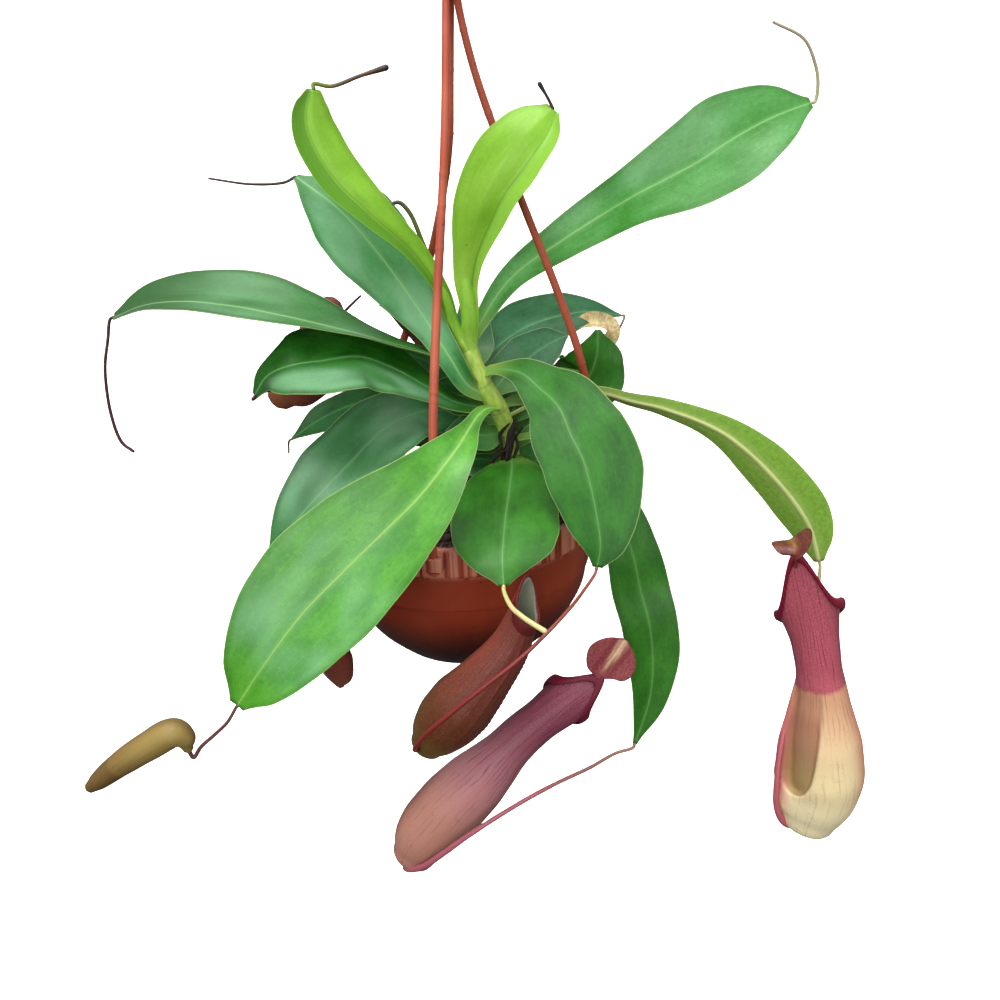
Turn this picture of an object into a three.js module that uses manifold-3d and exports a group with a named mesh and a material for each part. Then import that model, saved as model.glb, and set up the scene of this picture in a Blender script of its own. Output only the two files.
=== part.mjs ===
// Hanging pitcher plant in a plastic pot on a three-strand hanger.
// Units are mm, +Z is up, and the origin is the seat inside the hook's bend.
// Everything below the hook is laid out from the centre of the pot's rim top.
import * as THREE from 'three';
import Module from 'manifold-3d';

const wasm = await Module();
wasm.setup();

// Hanger and pot
const RIM_DROP = 304;
const POT_LIFT = 6;
const RIM_RADIUS = 70;
const BAND_HEIGHT = 15;
const POT_HEIGHT = 82;
const POT_WALL = 2.4;
const BASE_RADIUS = 34;
const POT_SEGMENTS = 36;
const LUG_RADIUS = 73;
const LUG_ANGLES = [-100, 19, 140];
const STRAND_RADIUS = 2.1;
const HUB_Z = 256;
const HUB_X = 8;
const HUB_HEIGHT = 8;
const STRAND_TOP_RADIUS = 1.7;
const HOOK_BEND = 14;
const HOOK_WIRE = 3;

// Growing things
const GAP = 0.3;
const LEAF_THICKNESS = 0.9;
const PITCHER_WALL = 1.3;
const SOIL_TOP = -12;

const v = (p) => new THREE.Vector3(p[0], p[1], p[2]);

const group = new THREE.Group();
const plant = new THREE.Group();
plant.position.z = -RIM_DROP;
group.add(plant);
const potPlace = new THREE.Group();
potPlace.position.z = POT_LIFT;
plant.add(potPlace);

const paint = {
  pot: ['pot_plastic', 0x8f4a38, 0.5],
  strand: ['strand_plastic', 0xc0664f, 0.45],
  soil: ['potting_mix', 0x2a1c14, 1.0],
  stem: ['stem', 0x8fae3e, 0.6],
  dead: ['dry_matter', 0x8a6a42, 0.95],
  leaf: ['leaf', 0x4c8c3c, 0.4],
  young: ['young_leaf', 0x92c83c, 0.4],
  tendril: ['tendril', 0x8c4438, 0.6],
  red: ['pitcher_red', 0x9c3034, 0.5],
  olive: ['pitcher_olive', 0x9a7a34, 0.5],
};

function add(name, geometry, look, parent = plant) {
  const [slot, color, roughness] = paint[look];
  const material = new THREE.MeshStandardMaterial({ color, roughness });
  material.name = slot;
  const mesh = new THREE.Mesh(geometry, material);
  mesh.name = name;
  parent.add(mesh);
}

function makeGeometry(points, triangles) {
  let volume = 0;
  for (const [a, b, c] of triangles) {
    volume += points[a].dot(points[b].clone().cross(points[c]));
  }
  const index = triangles.flatMap(([a, b, c]) => (volume > 0 ? [a, b, c] : [a, c, b]));
  const geometry = new THREE.BufferGeometry();
  geometry.setAttribute('position', new THREE.Float32BufferAttribute(points.flatMap((p) => p.toArray()), 3));
  geometry.setIndex(index);
  geometry.computeVertexNormals();
  return geometry;
}

function mergeByPlace(geometry) {
  const place = geometry.getAttribute('position');
  const seen = new Map();
  const points = [];
  const remap = [];
  for (let i = 0; i < place.count; i += 1) {
    const p = new THREE.Vector3().fromBufferAttribute(place, i);
    const key = [p.x, p.y, p.z].map((n) => Math.round(n * 1e4)).join(' ');
    if (!seen.has(key)) {
      seen.set(key, points.length);
      points.push(p);
    }
    remap.push(seen.get(key));
  }
  const index = geometry.index ? Array.from(geometry.index.array) : remap.map((_, i) => i);
  const triangles = [];
  for (let i = 0; i < index.length; i += 3) {
    const [a, b, c] = [remap[index[i]], remap[index[i + 1]], remap[index[i + 2]]];
    if (a !== b && b !== c && a !== c) triangles.push([a, b, c]);
  }
  return makeGeometry(points, triangles);
}

function toSolid(geometry) {
  const clean = mergeByPlace(geometry);
  return new wasm.Manifold(new wasm.Mesh({
    numProp: 3,
    vertProperties: new Float32Array(clean.getAttribute('position').array),
    triVerts: new Uint32Array(clean.index.array),
  }));
}

function fromSolid(solid) {
  const parts = solid.decompose();
  parts.sort((a, b) => b.volume() - a.volume());
  const mesh = parts[0].simplify(0.004).getMesh();
  const geometry = new THREE.BufferGeometry();
  geometry.setAttribute('position', new THREE.BufferAttribute(new Float32Array(mesh.vertProperties), 3));
  geometry.setIndex(Array.from(mesh.triVerts));
  geometry.computeVertexNormals();
  return geometry;
}

function minus(geometry, cutters) {
  let solid = toSolid(geometry);
  for (const cutter of cutters) solid = solid.subtract(toSolid(cutter));
  return fromSolid(solid);
}

function joined(geometries) {
  let solid = toSolid(geometries[0]);
  for (const other of geometries.slice(1)) solid = solid.add(toSolid(other));
  return fromSolid(solid);
}

// A list of [t, value] keys read at t, with smooth steps between the keys.
function keyed(keys, t) {
  if (t <= keys[0][0]) return keys[0][1];
  for (let i = 1; i < keys.length; i += 1) {
    const [t1, w1] = keys[i];
    const [t0, w0] = keys[i - 1];
    if (t <= t1) return w0 + (w1 - w0) * ((t - t0) / (t1 - t0));
  }
  return keys[keys.length - 1][1];
}

// Rings of points joined to a closed body, with a flat fan on each end.
function loft(rings) {
  const count = rings[0].length;
  const points = rings.flat();
  const triangles = [];
  for (let i = 0; i + 1 < rings.length; i += 1) {
    for (let j = 0; j < count; j += 1) {
      const a = i * count + j;
      const b = i * count + ((j + 1) % count);
      triangles.push([a, b, b + count], [a, b + count, a + count]);
    }
  }
  const last = (rings.length - 1) * count;
  for (let j = 1; j + 1 < count; j += 1) {
    triangles.push([0, j + 1, j], [last, last + j, last + j + 1]);
  }
  return makeGeometry(points, triangles);
}

// Frames that travel along a curve without twisting.
function framesAlong(curve, steps, hint) {
  const frames = [];
  let side = v(hint);
  for (let i = 0; i <= steps; i += 1) {
    const t = i / steps;
    const tangent = curve.getTangentAt(t);
    side = side.clone().addScaledVector(tangent, -side.dot(tangent)).normalize();
    frames.push({ at: curve.getPointAt(t), tangent, side, cross: tangent.clone().cross(side) });
  }
  return frames;
}

function tube(points, radii, sides = 6, steps = 10, hint = [0.31, 0.9, 0.3]) {
  const curve = new THREE.CatmullRomCurve3(points.map(v), false, 'centripetal');
  const rings = framesAlong(curve, steps, hint).map((f, i) => {
    const r = keyed(radii, i / steps);
    return Array.from({ length: sides }, (_, k) => {
      const a = (2 * Math.PI * k) / sides;
      return f.at.clone().addScaledVector(f.side, r * Math.cos(a)).addScaledVector(f.cross, r * Math.sin(a));
    });
  });
  return loft(rings);
}

// A blade along its midrib. face is the way that its upper side looks, keyed from base to tip.
function blade({ mid, width, face, cup = 0.15, wave = 0, steps = 13, fold = 0, skew = 0 }) {
  const across = 4;
  const curve = new THREE.CatmullRomCurve3(mid.map(v), false, 'centripetal');
  const grids = [[], []];
  for (let i = 0; i <= steps; i += 1) {
    const t = i / steps;
    const at = curve.getPointAt(t);
    const tangent = curve.getTangentAt(t);
    const look = new THREE.Vector3(...[0, 1, 2].map((k) => keyed(face.map((f) => [f[0], f[k + 1]]), t)));
    look.addScaledVector(tangent, -look.dot(tangent)).normalize();
    const side = tangent.clone().cross(look);
    const half = Math.max(keyed(width, t), 0.5);
    for (const [g, sign] of [[0, 1], [1, -1]]) {
      const row = [];
      for (let k = 0; k <= across; k += 1) {
        const s = (2 * k) / across - 1;
        const lift = cup * half * Math.abs(s) ** 1.4 + fold * half * Math.max(0, s) ** 2;
        const ripple = wave * Math.abs(s) * Math.sin(11 * t + 1.7 * s) * Math.min(1, half / 10);
        const thick = (LEAF_THICKNESS / 2) * (1.15 - 0.35 * Math.abs(s));
        row.push(at.clone()
          .addScaledVector(side, half * s * (1 + skew * s))
          .addScaledVector(look, lift + ripple + sign * thick));
      }
      grids[g].push(row);
    }
  }
  const rings = grids[0].map((top, i) => [...top, ...grids[1][i].slice().reverse()]);
  return stripLoft(rings, across);
}

// Same triangle split on the two faces of a strip, so that they can't cross.
function stripLoft(rings, across) {
  const count = rings[0].length;
  const points = rings.flat();
  const triangles = [];
  for (let i = 0; i + 1 < rings.length; i += 1) {
    for (let j = 0; j < count; j += 1) {
      const a = i * count + j;
      const b = i * count + ((j + 1) % count);
      if (j < across) triangles.push([a, b, b + count], [a, b + count, a + count]);
      else triangles.push([a, b, a + count], [b, b + count, a + count]);
    }
  }
  const last = (rings.length - 1) * count;
  for (let j = 0; j < across; j += 1) {
    const a = j;
    const b = j + 1;
    const c = count - 2 - j;
    const d = count - 1 - j;
    triangles.push([a, c, b], [a, d, c]);
    triangles.push([last + a, last + b, last + c], [last + a, last + c, last + d]);
  }
  return makeGeometry(points, triangles);
}

// A pitcher: outer skin from the base up to the lip, the rolled lip, then the inner skin down.
// lean tilts the mouth: the ring is raised on the lid's side by this share of its radius.
function pitcher({ axis, radii, lidSide, lean, lip, sides = 14, steps = 12, lid }) {
  const curve = new THREE.CatmullRomCurve3(axis.map(v), false, 'centripetal');
  const frames = framesAlong(curve, steps, lidSide);
  const ring = (f, t, r, push = 0) => Array.from({ length: sides }, (_, k) => {
    const a = (2 * Math.PI * k) / sides;
    const peak = 0.35 * Math.cos(a) + 0.65 * Math.max(0, Math.cos(a)) ** 3;
    const tilt = lean * r * peak * Math.max(0, (t - 0.72) / 0.28) ** 1.5;
    return f.at.clone()
      .addScaledVector(f.side, r * Math.cos(a))
      .addScaledVector(f.cross, r * Math.sin(a))
      .addScaledVector(f.tangent, tilt + push);
  });
  const rings = frames.map((f, i) => ring(f, i / steps, keyed(radii, i / steps)));
  const top = frames[steps];
  const mouth = keyed(radii, 1);
  rings.push(ring(top, 1, mouth + lip, 0.3));
  rings.push(ring(top, 1, mouth + lip * 0.9, 1.6));
  rings.push(ring(top, 1, mouth - PITCHER_WALL * 0.4, 2.0));
  for (let i = steps; i >= 1; i -= 1) {
    const r = Math.max(keyed(radii, i / steps) - PITCHER_WALL, 0.6);
    rings.push(ring(frames[i], i / steps, r, i === 1 ? PITCHER_WALL * 0.4 : 0));
  }
  const body = loft(rings);
  const hinge = top.at.clone()
    .addScaledVector(top.side, mouth + lip * 0.3)
    .addScaledVector(top.tangent, lean * mouth + 0.6);
  if (!lid) return body;
  const at = (p) => hinge.clone().add(v(p)).toArray();
  return joined([body, blade({ ...lid, mid: lid.mid.map(at), steps: 9 })]);
}

// Pot: bowl, proud rim band, moulded step and ring, drain holes and three lugs.
const outerBowl = [
  [RIM_RADIUS - 2, -BAND_HEIGHT], [67.5, -26], [67, -34], [66.2, -34.6], [64, -46],
  [58, -58], [52, -66.5], [45, -73.5], [44.2, -74.2], [38, -79.5], [BASE_RADIUS, -POT_HEIGHT],
];
const innerBowl = [
  [BASE_RADIUS - 1, -POT_HEIGHT + POT_WALL], [42, -73], [50, -65], [55.5, -57], [61.5, -46],
  [63.8, -34], [64.6, -26], [65.2, -BAND_HEIGHT],
];
function potBody() {
  const profile = [
    [0, -POT_HEIGHT], ...outerBowl.slice().reverse(),
    [RIM_RADIUS - 0.4, -BAND_HEIGHT], [RIM_RADIUS, -BAND_HEIGHT + 1], [RIM_RADIUS, -1.2],
    [RIM_RADIUS - 1.2, 0], [RIM_RADIUS - 3.4, 0], [RIM_RADIUS - 4.2, -0.8],
    ...innerBowl.slice().reverse(), [0, -POT_HEIGHT + POT_WALL],
  ];
  const lathe = new THREE.LatheGeometry(profile.map((p) => new THREE.Vector2(...p)), POT_SEGMENTS);
  lathe.rotateX(Math.PI / 2);
  const adds = [lathe];
  const cuts = [];
  for (const degrees of LUG_ANGLES) {
    const angle = THREE.MathUtils.degToRad(degrees);
    const lug = new THREE.BoxGeometry(9, 9, 7);
    lug.translate(LUG_RADIUS, 0, -5.5);
    lug.rotateZ(angle);
    adds.push(lug);
    const bore = new THREE.CylinderGeometry(STRAND_RADIUS + GAP, STRAND_RADIUS + GAP, 20, 20);
    bore.rotateX(Math.PI / 2);
    bore.translate(LUG_RADIUS + 0.6, 0, -5.5);
    bore.rotateZ(angle);
    cuts.push(bore);
  }
  for (let k = 0; k < 8; k += 1) {
    const angle = (2 * Math.PI * (k + 0.5)) / 8;
    const drain = new THREE.CylinderGeometry(2, 2, 12, 12);
    drain.rotateX(Math.PI / 2);
    drain.translate(24 * Math.cos(angle), 24 * Math.sin(angle), -POT_HEIGHT);
    cuts.push(drain);
  }
  return minus(joined(adds), cuts);
}
add('pot', potBody(), 'pot', potPlace);

// Stem, rising from the mix and leaning left.
const STEM_PATH = [[29, 19, -34], [28, 18, -10], [27, 16, 28], [21, 14, 49], [12, 12, 63], [6, 11, 77], [4, 11, 90]];
function onStem(z) {
  return [0, 1, 2].map((k) => keyed(STEM_PATH.map((p) => [p[2], p[k]]), z));
}
const STEM_RADII = [[0, 3], [0.3, 3.2], [0.6, 3], [0.9, 2.4], [1, 1.8]];
const stem = tube(STEM_PATH, STEM_RADII, 10, 20);
const stemRoom = tube(
  [[29.4, 19.2, -40], ...STEM_PATH.slice(0, -1), [4, 11, 91]],
  STEM_RADII.map(([t, r]) => [t, r + GAP]), 10, 24,
);
add('stem', stem, 'stem');

const OLD_STEM_PATH = [[36, 24, -30], [36, 24, -8], [35, 24, 8], [34, 24, 24]];
const OLD_STEM_RADII = [[0, 1.8], [0.6, 2.2], [1, 1.4]];
const oldStem = tube(OLD_STEM_PATH, OLD_STEM_RADII, 7, 10);
add('old_stem', minus(oldStem, [stemRoom]), 'dead');

function soilBody() {
  const rings = [];
  const sides = 28;
  const inset = GAP + 0.1;
  const profile = [
    ...innerBowl.map(([r, z], i) => [r - inset * 1.2, i === 0 ? z + inset : z]),
    [58, SOIL_TOP - 1.5], [42, SOIL_TOP], [24, SOIL_TOP + 0.5], [7, SOIL_TOP + 1],
  ].map(([r, z]) => [r, z + POT_LIFT]);
  profile.forEach(([r, z], i) => {
    rings.push(Array.from({ length: sides }, (_, k) => {
      const a = (2 * Math.PI * k) / sides;
      const lump = i > innerBowl.length ? 0.9 * Math.sin(3.1 * k + 2.3 * i) : 0;
      return new THREE.Vector3(r * Math.cos(a), r * Math.sin(a), z + lump);
    }));
  });
  const oldRoom = tube(OLD_STEM_PATH.map(([x, y, z]) => [x, y, z - (z < -20 ? 2 : 0)]),
    OLD_STEM_RADII.map(([t, r]) => [t, r + GAP]), 7, 10);
  return minus(loft(rings), [stemRoom, oldRoom]);
}
add('potting_mix', soilBody(), 'soil');

// Hanger: hub with a hook, and three strands that end in a button under each lug.
const strandPaths = [
  [[5.6, -2.2, HUB_Z + 4.5], [5.6, -2.2, HUB_Z], [5.6, -2.4, 252], [5.2, -6, 243], [3, -24, 201], [0, -38, 165], [-5, -52, 116],
    [-9, -64, 69], [-11, -71, 30]],
  [[10.4, -0.4, HUB_Z + 4.5], [10.4, -0.4, HUB_Z], [10.4, -0.3, 252], [11.4, 1, 243], [18, 4, 214], [36, 9, 161], [54, 13, 112],
    [65, 18, 78], [71, 22, 48], [71, 24, 24]],
  [[7.6, 3.6, HUB_Z + 4.5], [7.6, 3.6, HUB_Z], [7.5, 3.9, 250], [7, 5.2, 243], [5, 10, 214], [3, 14, 187], [-2, 22, 161],
    [-12, 33, 126], [-32, 42, 76], [-50, 46, 34]],
];
function hookBody() {
  const turn = [];
  for (let a = -60; a <= 180; a += 20) {
    const angle = THREE.MathUtils.degToRad(a);
    turn.push([HOOK_BEND * Math.cos(angle), 0, HOOK_BEND * Math.sin(angle)]);
  }
  const path = [...turn, [-HOOK_BEND, 0, -10], [-HOOK_BEND * 0.6, 0, -19], [0, 0, -25], [HUB_X, 0.5, -30]];
  const drop = path.map(([x, y, z]) => [x, y, z - HOOK_BEND + HOOK_WIRE]);
  const wire = tube(drop, [[0, HOOK_WIRE], [1, HOOK_WIRE]], 8, 30, [0, 1, 0]);
  const hub = new THREE.CylinderGeometry(7, 8.5, HUB_HEIGHT, 24);
  hub.rotateX(Math.PI / 2);
  hub.translate(HUB_X, 0.5, HUB_Z + HUB_HEIGHT / 2 - RIM_DROP);
  const bores = strandPaths.map(([top]) => {
    const bore = new THREE.CylinderGeometry(STRAND_TOP_RADIUS + 0.5, STRAND_TOP_RADIUS + 0.5, 10, 12);
    bore.rotateX(Math.PI / 2);
    bore.translate(top[0], top[1], HUB_Z - RIM_DROP);
    return bore;
  });
  return minus(joined([wire, hub]), bores);
}
add('hanger_hook', hookBody(), 'strand', group);

strandPaths.forEach((path, i) => {
  const angle = THREE.MathUtils.degToRad(LUG_ANGLES[i]);
  const foot = [(LUG_RADIUS + 0.6) * Math.cos(angle), (LUG_RADIUS + 0.6) * Math.sin(angle)];
  const fixed = [...path, [...foot, POT_LIFT + 5], [...foot, POT_LIFT - 2], [...foot, POT_LIFT - 10]];
  const strand = tube(fixed, [[0, STRAND_TOP_RADIUS], [0.6, STRAND_RADIUS], [1, STRAND_RADIUS]], 8, 27);
  const button = new THREE.CylinderGeometry(3.2, 3.2, 1.6, 14);
  button.rotateX(Math.PI / 2);
  button.translate(foot[0], foot[1], POT_LIFT - 10.2);
  add(`hanger_strand_${i + 1}`, joined([strand, button]), 'strand');
});

// Leaves. Paths run along the midrib from the stem to the tip.
const CAMERA_SIDE = [0, -0.93, 0.36];
const facing = (...keys) => keys.map(([t, p]) => [t, ...p]);
const front = facing([0, CAMERA_SIDE]);

const leaves = {
  leaf_long_left: {
    mid: [onStem(75), [-9, 9, 87], [-31, -1, 98], [-54, -9, 109], [-75, -12, 115], [-97, -12, 120],
      [-126, -10, 122], [-149, -8, 120], [-167, -6, 113]],
    width: [[0, 2.5], [0.2, 4], [0.4, 12], [0.65, 21], [0.85, 15], [0.95, 6], [1, 0.5]],
    face: facing([0, [0, -0.2, 1]], [1, [-0.2, -0.2, 1]]),
    wave: 0.8,
    look: 'leaf',
  },
  leaf_upper_left: {
    mid: [onStem(58), [6, 3, 67], [-2, 0, 82], [-15, 4, 104], [-34, 5, 136], [-49, 8, 158], [-64, 16, 169]],
    width: [[0, 2.5], [0.25, 4.5], [0.35, 6.5], [0.5, 14], [0.75, 22], [0.92, 14], [1, 5]],
    face: facing([0, CAMERA_SIDE], [1, [0.1, -0.7, 0.7]]),
    look: 'leaf',
  },
  leaf_young_left: {
    mid: [[2, 10.5, 88], [-0.5, 7, 97], [-4, -2, 117], [-16, -9, 139], [-33, -13, 158], [-50, -12, 178], [-59, -8, 198], [-58, -4, 211]],
    width: [[0, 1.4], [0.25, 2.5], [0.45, 6], [0.7, 11.5], [0.88, 10], [1, 3]],
    face: facing([0, [0.2, -0.95, 0.3]]),
    cup: 0.35,
    fold: 0.7,
    look: 'young',
  },
  leaf_young_centre: {
    mid: [[5.5, 10, 89.5], [8, 7, 97], [8.5, 5, 106], [8, 2, 122], [13, -4, 146], [23, -8, 169], [37, -8, 187], [50, -2, 200]],
    width: [[0, 1.6], [0.1, 3], [0.2, 5], [0.35, 8], [0.52, 14], [0.75, 18], [0.92, 12.5], [1, 3]],
    face: facing([0, CAMERA_SIDE]),
    cup: 0.25,
    fold: 0.7,
    look: 'young',
  },
  leaf_upper_right: {
    mid: [onStem(87), [30, 22, 117], [58, 28, 135], [77, 28, 146], [95, 20, 157], [123, 14, 171],
      [141, 12, 182], [160, 14, 191], [180, 18, 197]],
    width: [[0, 3], [0.2, 7], [0.4, 12], [0.55, 15], [0.67, 21], [0.8, 24], [0.92, 16], [0.97, 8], [1, 0.5]],
    face: facing([0, [-0.1, -0.9, 0.4]]),
    look: 'leaf',
  },
  leaf_wide_left: {
    mid: [onStem(49), [-1, 2, 58], [-13, -6, 68], [-32, -16, 83], [-46, -22, 90], [-64, -28, 90],
      [-78, -30, 89], [-93, -28, 84]],
    width: [[0, 2.2], [0.2, 8], [0.45, 18], [0.7, 24], [0.88, 19], [1, 1.5]],
    face: facing([0, [0, -0.5, 0.85]], [1, [-0.2, -0.45, 0.9]]),
    skew: -0.12,
    wave: 0.8,
    look: 'leaf',
  },
  leaf_small_left: {
    mid: [onStem(55), [5, 22, 57], [-20, 24, 61], [-45, 20, 57], [-61, 20, 53], [-75, 20, 47], [-91, 20, 37]],
    width: [[0, 1.6], [0.35, 3], [0.6, 9], [0.85, 8], [1, 0.5]],
    face: facing([0, [0, -0.8, 0.6]]),
    steps: 9,
    look: 'leaf',
  },
  leaf_lower_left: {
    mid: [onStem(44), [-2, 16, 50], [-20, 8, 52], [-37, -8, 49], [-55, -24, 36], [-75, -36, 19], [-96, -42, -3]],
    width: [[0, 2.5], [0.2, 6], [0.45, 20], [0.7, 22], [0.9, 13], [1, 0.5]],
    face: facing([0, [-0.2, -0.8, 0.6]], [1, [-0.4, -0.8, 0.45]]),
    look: 'leaf',
  },
  leaf_front_left: {
    mid: [onStem(51), [12, -34, 62], [0, -74, 56], [-16, -86, 40], [-32, -90, 26], [-52, -92, 8],
      [-73, -94, -12], [-95, -96, -39], [-109, -94, -59]],
    width: [[0, 2.5], [0.27, 4], [0.37, 13], [0.46, 22], [0.57, 28], [0.7, 29], [0.83, 21], [0.93, 11], [1, 0.6]],
    face: facing([0, [0.3, -0.2, 1]], [0.35, [0.1, -0.75, 0.6]], [1, [-0.1, -0.93, 0.35]]),
    wave: 0.8,
    steps: 16,
    look: 'leaf',
  },
  leaf_front_right: {
    mid: [onStem(69), [19, 7, 73], [33, -4, 74], [43, -16, 68], [51, -28, 62], [56, -40, 51], [61, -48, 41], [64, -56, 29],
      [66, -62, 17], [67, -68, 4], [65, -70, -6]],
    width: [[0, 3], [0.12, 6], [0.3, 16], [0.5, 23], [0.7, 22], [0.87, 14], [1, 0.5]],
    face: facing([0, [-0.2, -0.6, 0.8]], [1, [0, -0.95, 0.2]]),
    look: 'leaf',
  },
  leaf_front_small: {
    mid: [onStem(24), [27, -10, 25], [25, -34, 22], [22, -62, 16], [20, -82, 6], [20, -90, -4]],
    width: [[0, 4], [0.2, 14], [0.5, 25], [0.75, 22], [0.9, 12], [1, 0.6]],
    face: facing([0, [0, -0.5, 0.9]], [1, [0, -0.8, 0.6]]),
    cup: -0.12,
    look: 'leaf',
  },
  leaf_hanging_right: {
    mid: [onStem(32), [42, 8, 36], [62, -4, 26], [80, -20, 4], [88, -26, -20], [92, -28, -40],
      [96, -32, -57], [98, -34, -79], [96, -36, -102], [88, -38, -128]],
    width: [[0, 2], [0.22, 4], [0.4, 11], [0.55, 13], [0.8, 12], [1, 0.5]],
    face: facing([0, [0.3, -0.5, 0.8]], [0.4, [0.1, -0.9, 0.2]], [1, [-0.1, -1, 0]]),
    look: 'leaf',
  },
  leaf_arching_right: {
    mid: [onStem(45), [57, 27, 55], [77, 29, 53], [94, 27, 48], [112, 22, 44], [143, 19, 30],
      [172, 20, 3], [195, 24, -29], [203, 26, -53]],
    width: [[0, 2.5], [0.3, 4], [0.5, 8], [0.68, 14.5], [0.85, 15], [1, 0.5]],
    face: facing([0, [-0.1, 0.2, 1]], [0.3, [0.1, 0.85, 0.4]], [1, [0.3, 0.9, 0.2]]),
    cup: 0.2,
    look: 'leaf',
  },
  leaf_back_right_1: {
    mid: [onStem(66), [18, 30, 76], [38, 44, 87], [58, 48, 92], [75, 50, 93], [91, 52, 90]],
    width: [[0, 2.5], [0.3, 9], [0.55, 12], [0.8, 8], [1, 0.5]],
    face: facing([0, [0.1, -0.8, 0.6]]),
    steps: 9,
    look: 'leaf',
  },
  leaf_back_right_2: {
    mid: [onStem(58), [25, 22, 65], [38, 25, 74], [48, 28, 80], [60, 30, 85]],
    width: [[0, 2], [0.3, 7], [0.6, 11], [0.85, 8], [1, 0.6]],
    face: facing([0, [0.2, -0.8, 0.6]]),
    steps: 9,
    look: 'leaf',
  },
  leaf_back_right_3: {
    mid: [onStem(52), [46, 34, 52], [64, 38, 53], [75, 37, 59], [79, 36, 71], [78, 36, 86]],
    width: [[0, 2], [0.35, 3], [0.6, 13], [0.8, 15], [0.93, 9], [1, 0.6]],
    face: facing([0, [0, -0.5, 0.9]], [0.5, [0, -0.9, 0.3]]),
    steps: 9,
    look: 'leaf',
  },
  leaf_behind_left: {
    mid: [onStem(80), [0, 21, 87], [-8, 24, 99], [-16, 24, 113], [-26, 26, 134], [-38, 28, 158], [-50, 30, 168]],
    width: [[0, 2], [0.3, 4], [0.6, 10], [0.85, 8], [1, 0.6]],
    face: facing([0, [0.2, -0.9, 0.3]]),
    steps: 9,
    look: 'leaf',
  },
  leaf_behind_stem: {
    mid: [onStem(74), [11, 24, 79], [9, 34, 91], [4, 42, 104]],
    width: [[0, 2.5], [0.4, 6.5], [0.7, 7], [1, 0.6]],
    face: facing([0, [0, -0.9, 0.4]]),
    steps: 9,
    look: 'leaf',
  },
  leaf_small_stem: {
    mid: [onStem(37), [13, 7, 38], [4, 2, 42], [-7, -1, 43]],
    width: [[0, 2], [0.4, 6], [0.75, 6], [1, 0.6]],
    face: facing([0, [0, -0.8, 0.6]]),
    steps: 9,
    look: 'leaf',
  },
  dry_leaf: {
    mid: [onStem(67), [-4, 22, 82], [-18, 24, 95], [-30, 22, 104], [-38, 20, 108]],
    width: [[0, 1.5], [0.5, 2], [0.75, 5], [1, 0.8]],
    face: facing([0, [0.3, -0.6, 0.8]]),
    cup: 0.5,
    steps: 9,
    look: 'dead',
  },
};
for (const [name, leaf] of Object.entries(leaves)) {
  add(name, minus(blade(leaf), [stemRoom]), leaf.look);
}

// Tendrils. Each leaves its leaf's tip in the leaf's own direction, a hair away from it.
function tipOf(name, away = GAP + 0.1) {
  const curve = new THREE.CatmullRomCurve3(leaves[name].mid.map(v), false, 'centripetal');
  const tangent = curve.getTangentAt(1);
  return [away, away + 2].map((d) => curve.getPointAt(1).addScaledVector(tangent, d).toArray());
}
function baseOf(axis, away = GAP + 0.1) {
  const curve = new THREE.CatmullRomCurve3(axis.map(v), false, 'centripetal');
  const tangent = curve.getTangentAt(0);
  return [away + 1.6, away].map((d) => curve.getPointAt(0).addScaledVector(tangent, -d).toArray());
}

const pitcherAxes = {
  right: [[196, 0, -224], [202, 0, -210], [206, 0, -185], [203, 0, -147], [201, 0, -119], [197, 0, -90], [193, 0, -68]],
  middle: [[-35, -56, -179], [-28, -57, -166], [-11, -58, -146], [9, -58, -125], [26, -57, -107], [43, -56, -93],
    [52, -54, -87]],
  front: [[-20, -86, -89], [-13, -90, -78], [-4, -93, -66], [9, -95, -50], [22, -96, -32], [30, -97, -14]],
  young: [[-136, -94, -81], [-137, -94, -76], [-142, -94, -73], [-154, -94, -79], [-170, -94, -89], [-186, -94, -101]],
  hidden_low: [[-66, -54, -78], [-65, -56, -68], [-67, -59, -50], [-70, -61, -34], [-73, -62, -22]],
  hidden_left: [[-95, 42, 46], [-91, 42, 56], [-84, 42, 72], [-77, 42, 88], [-70, 42, 103]],
};

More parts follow.
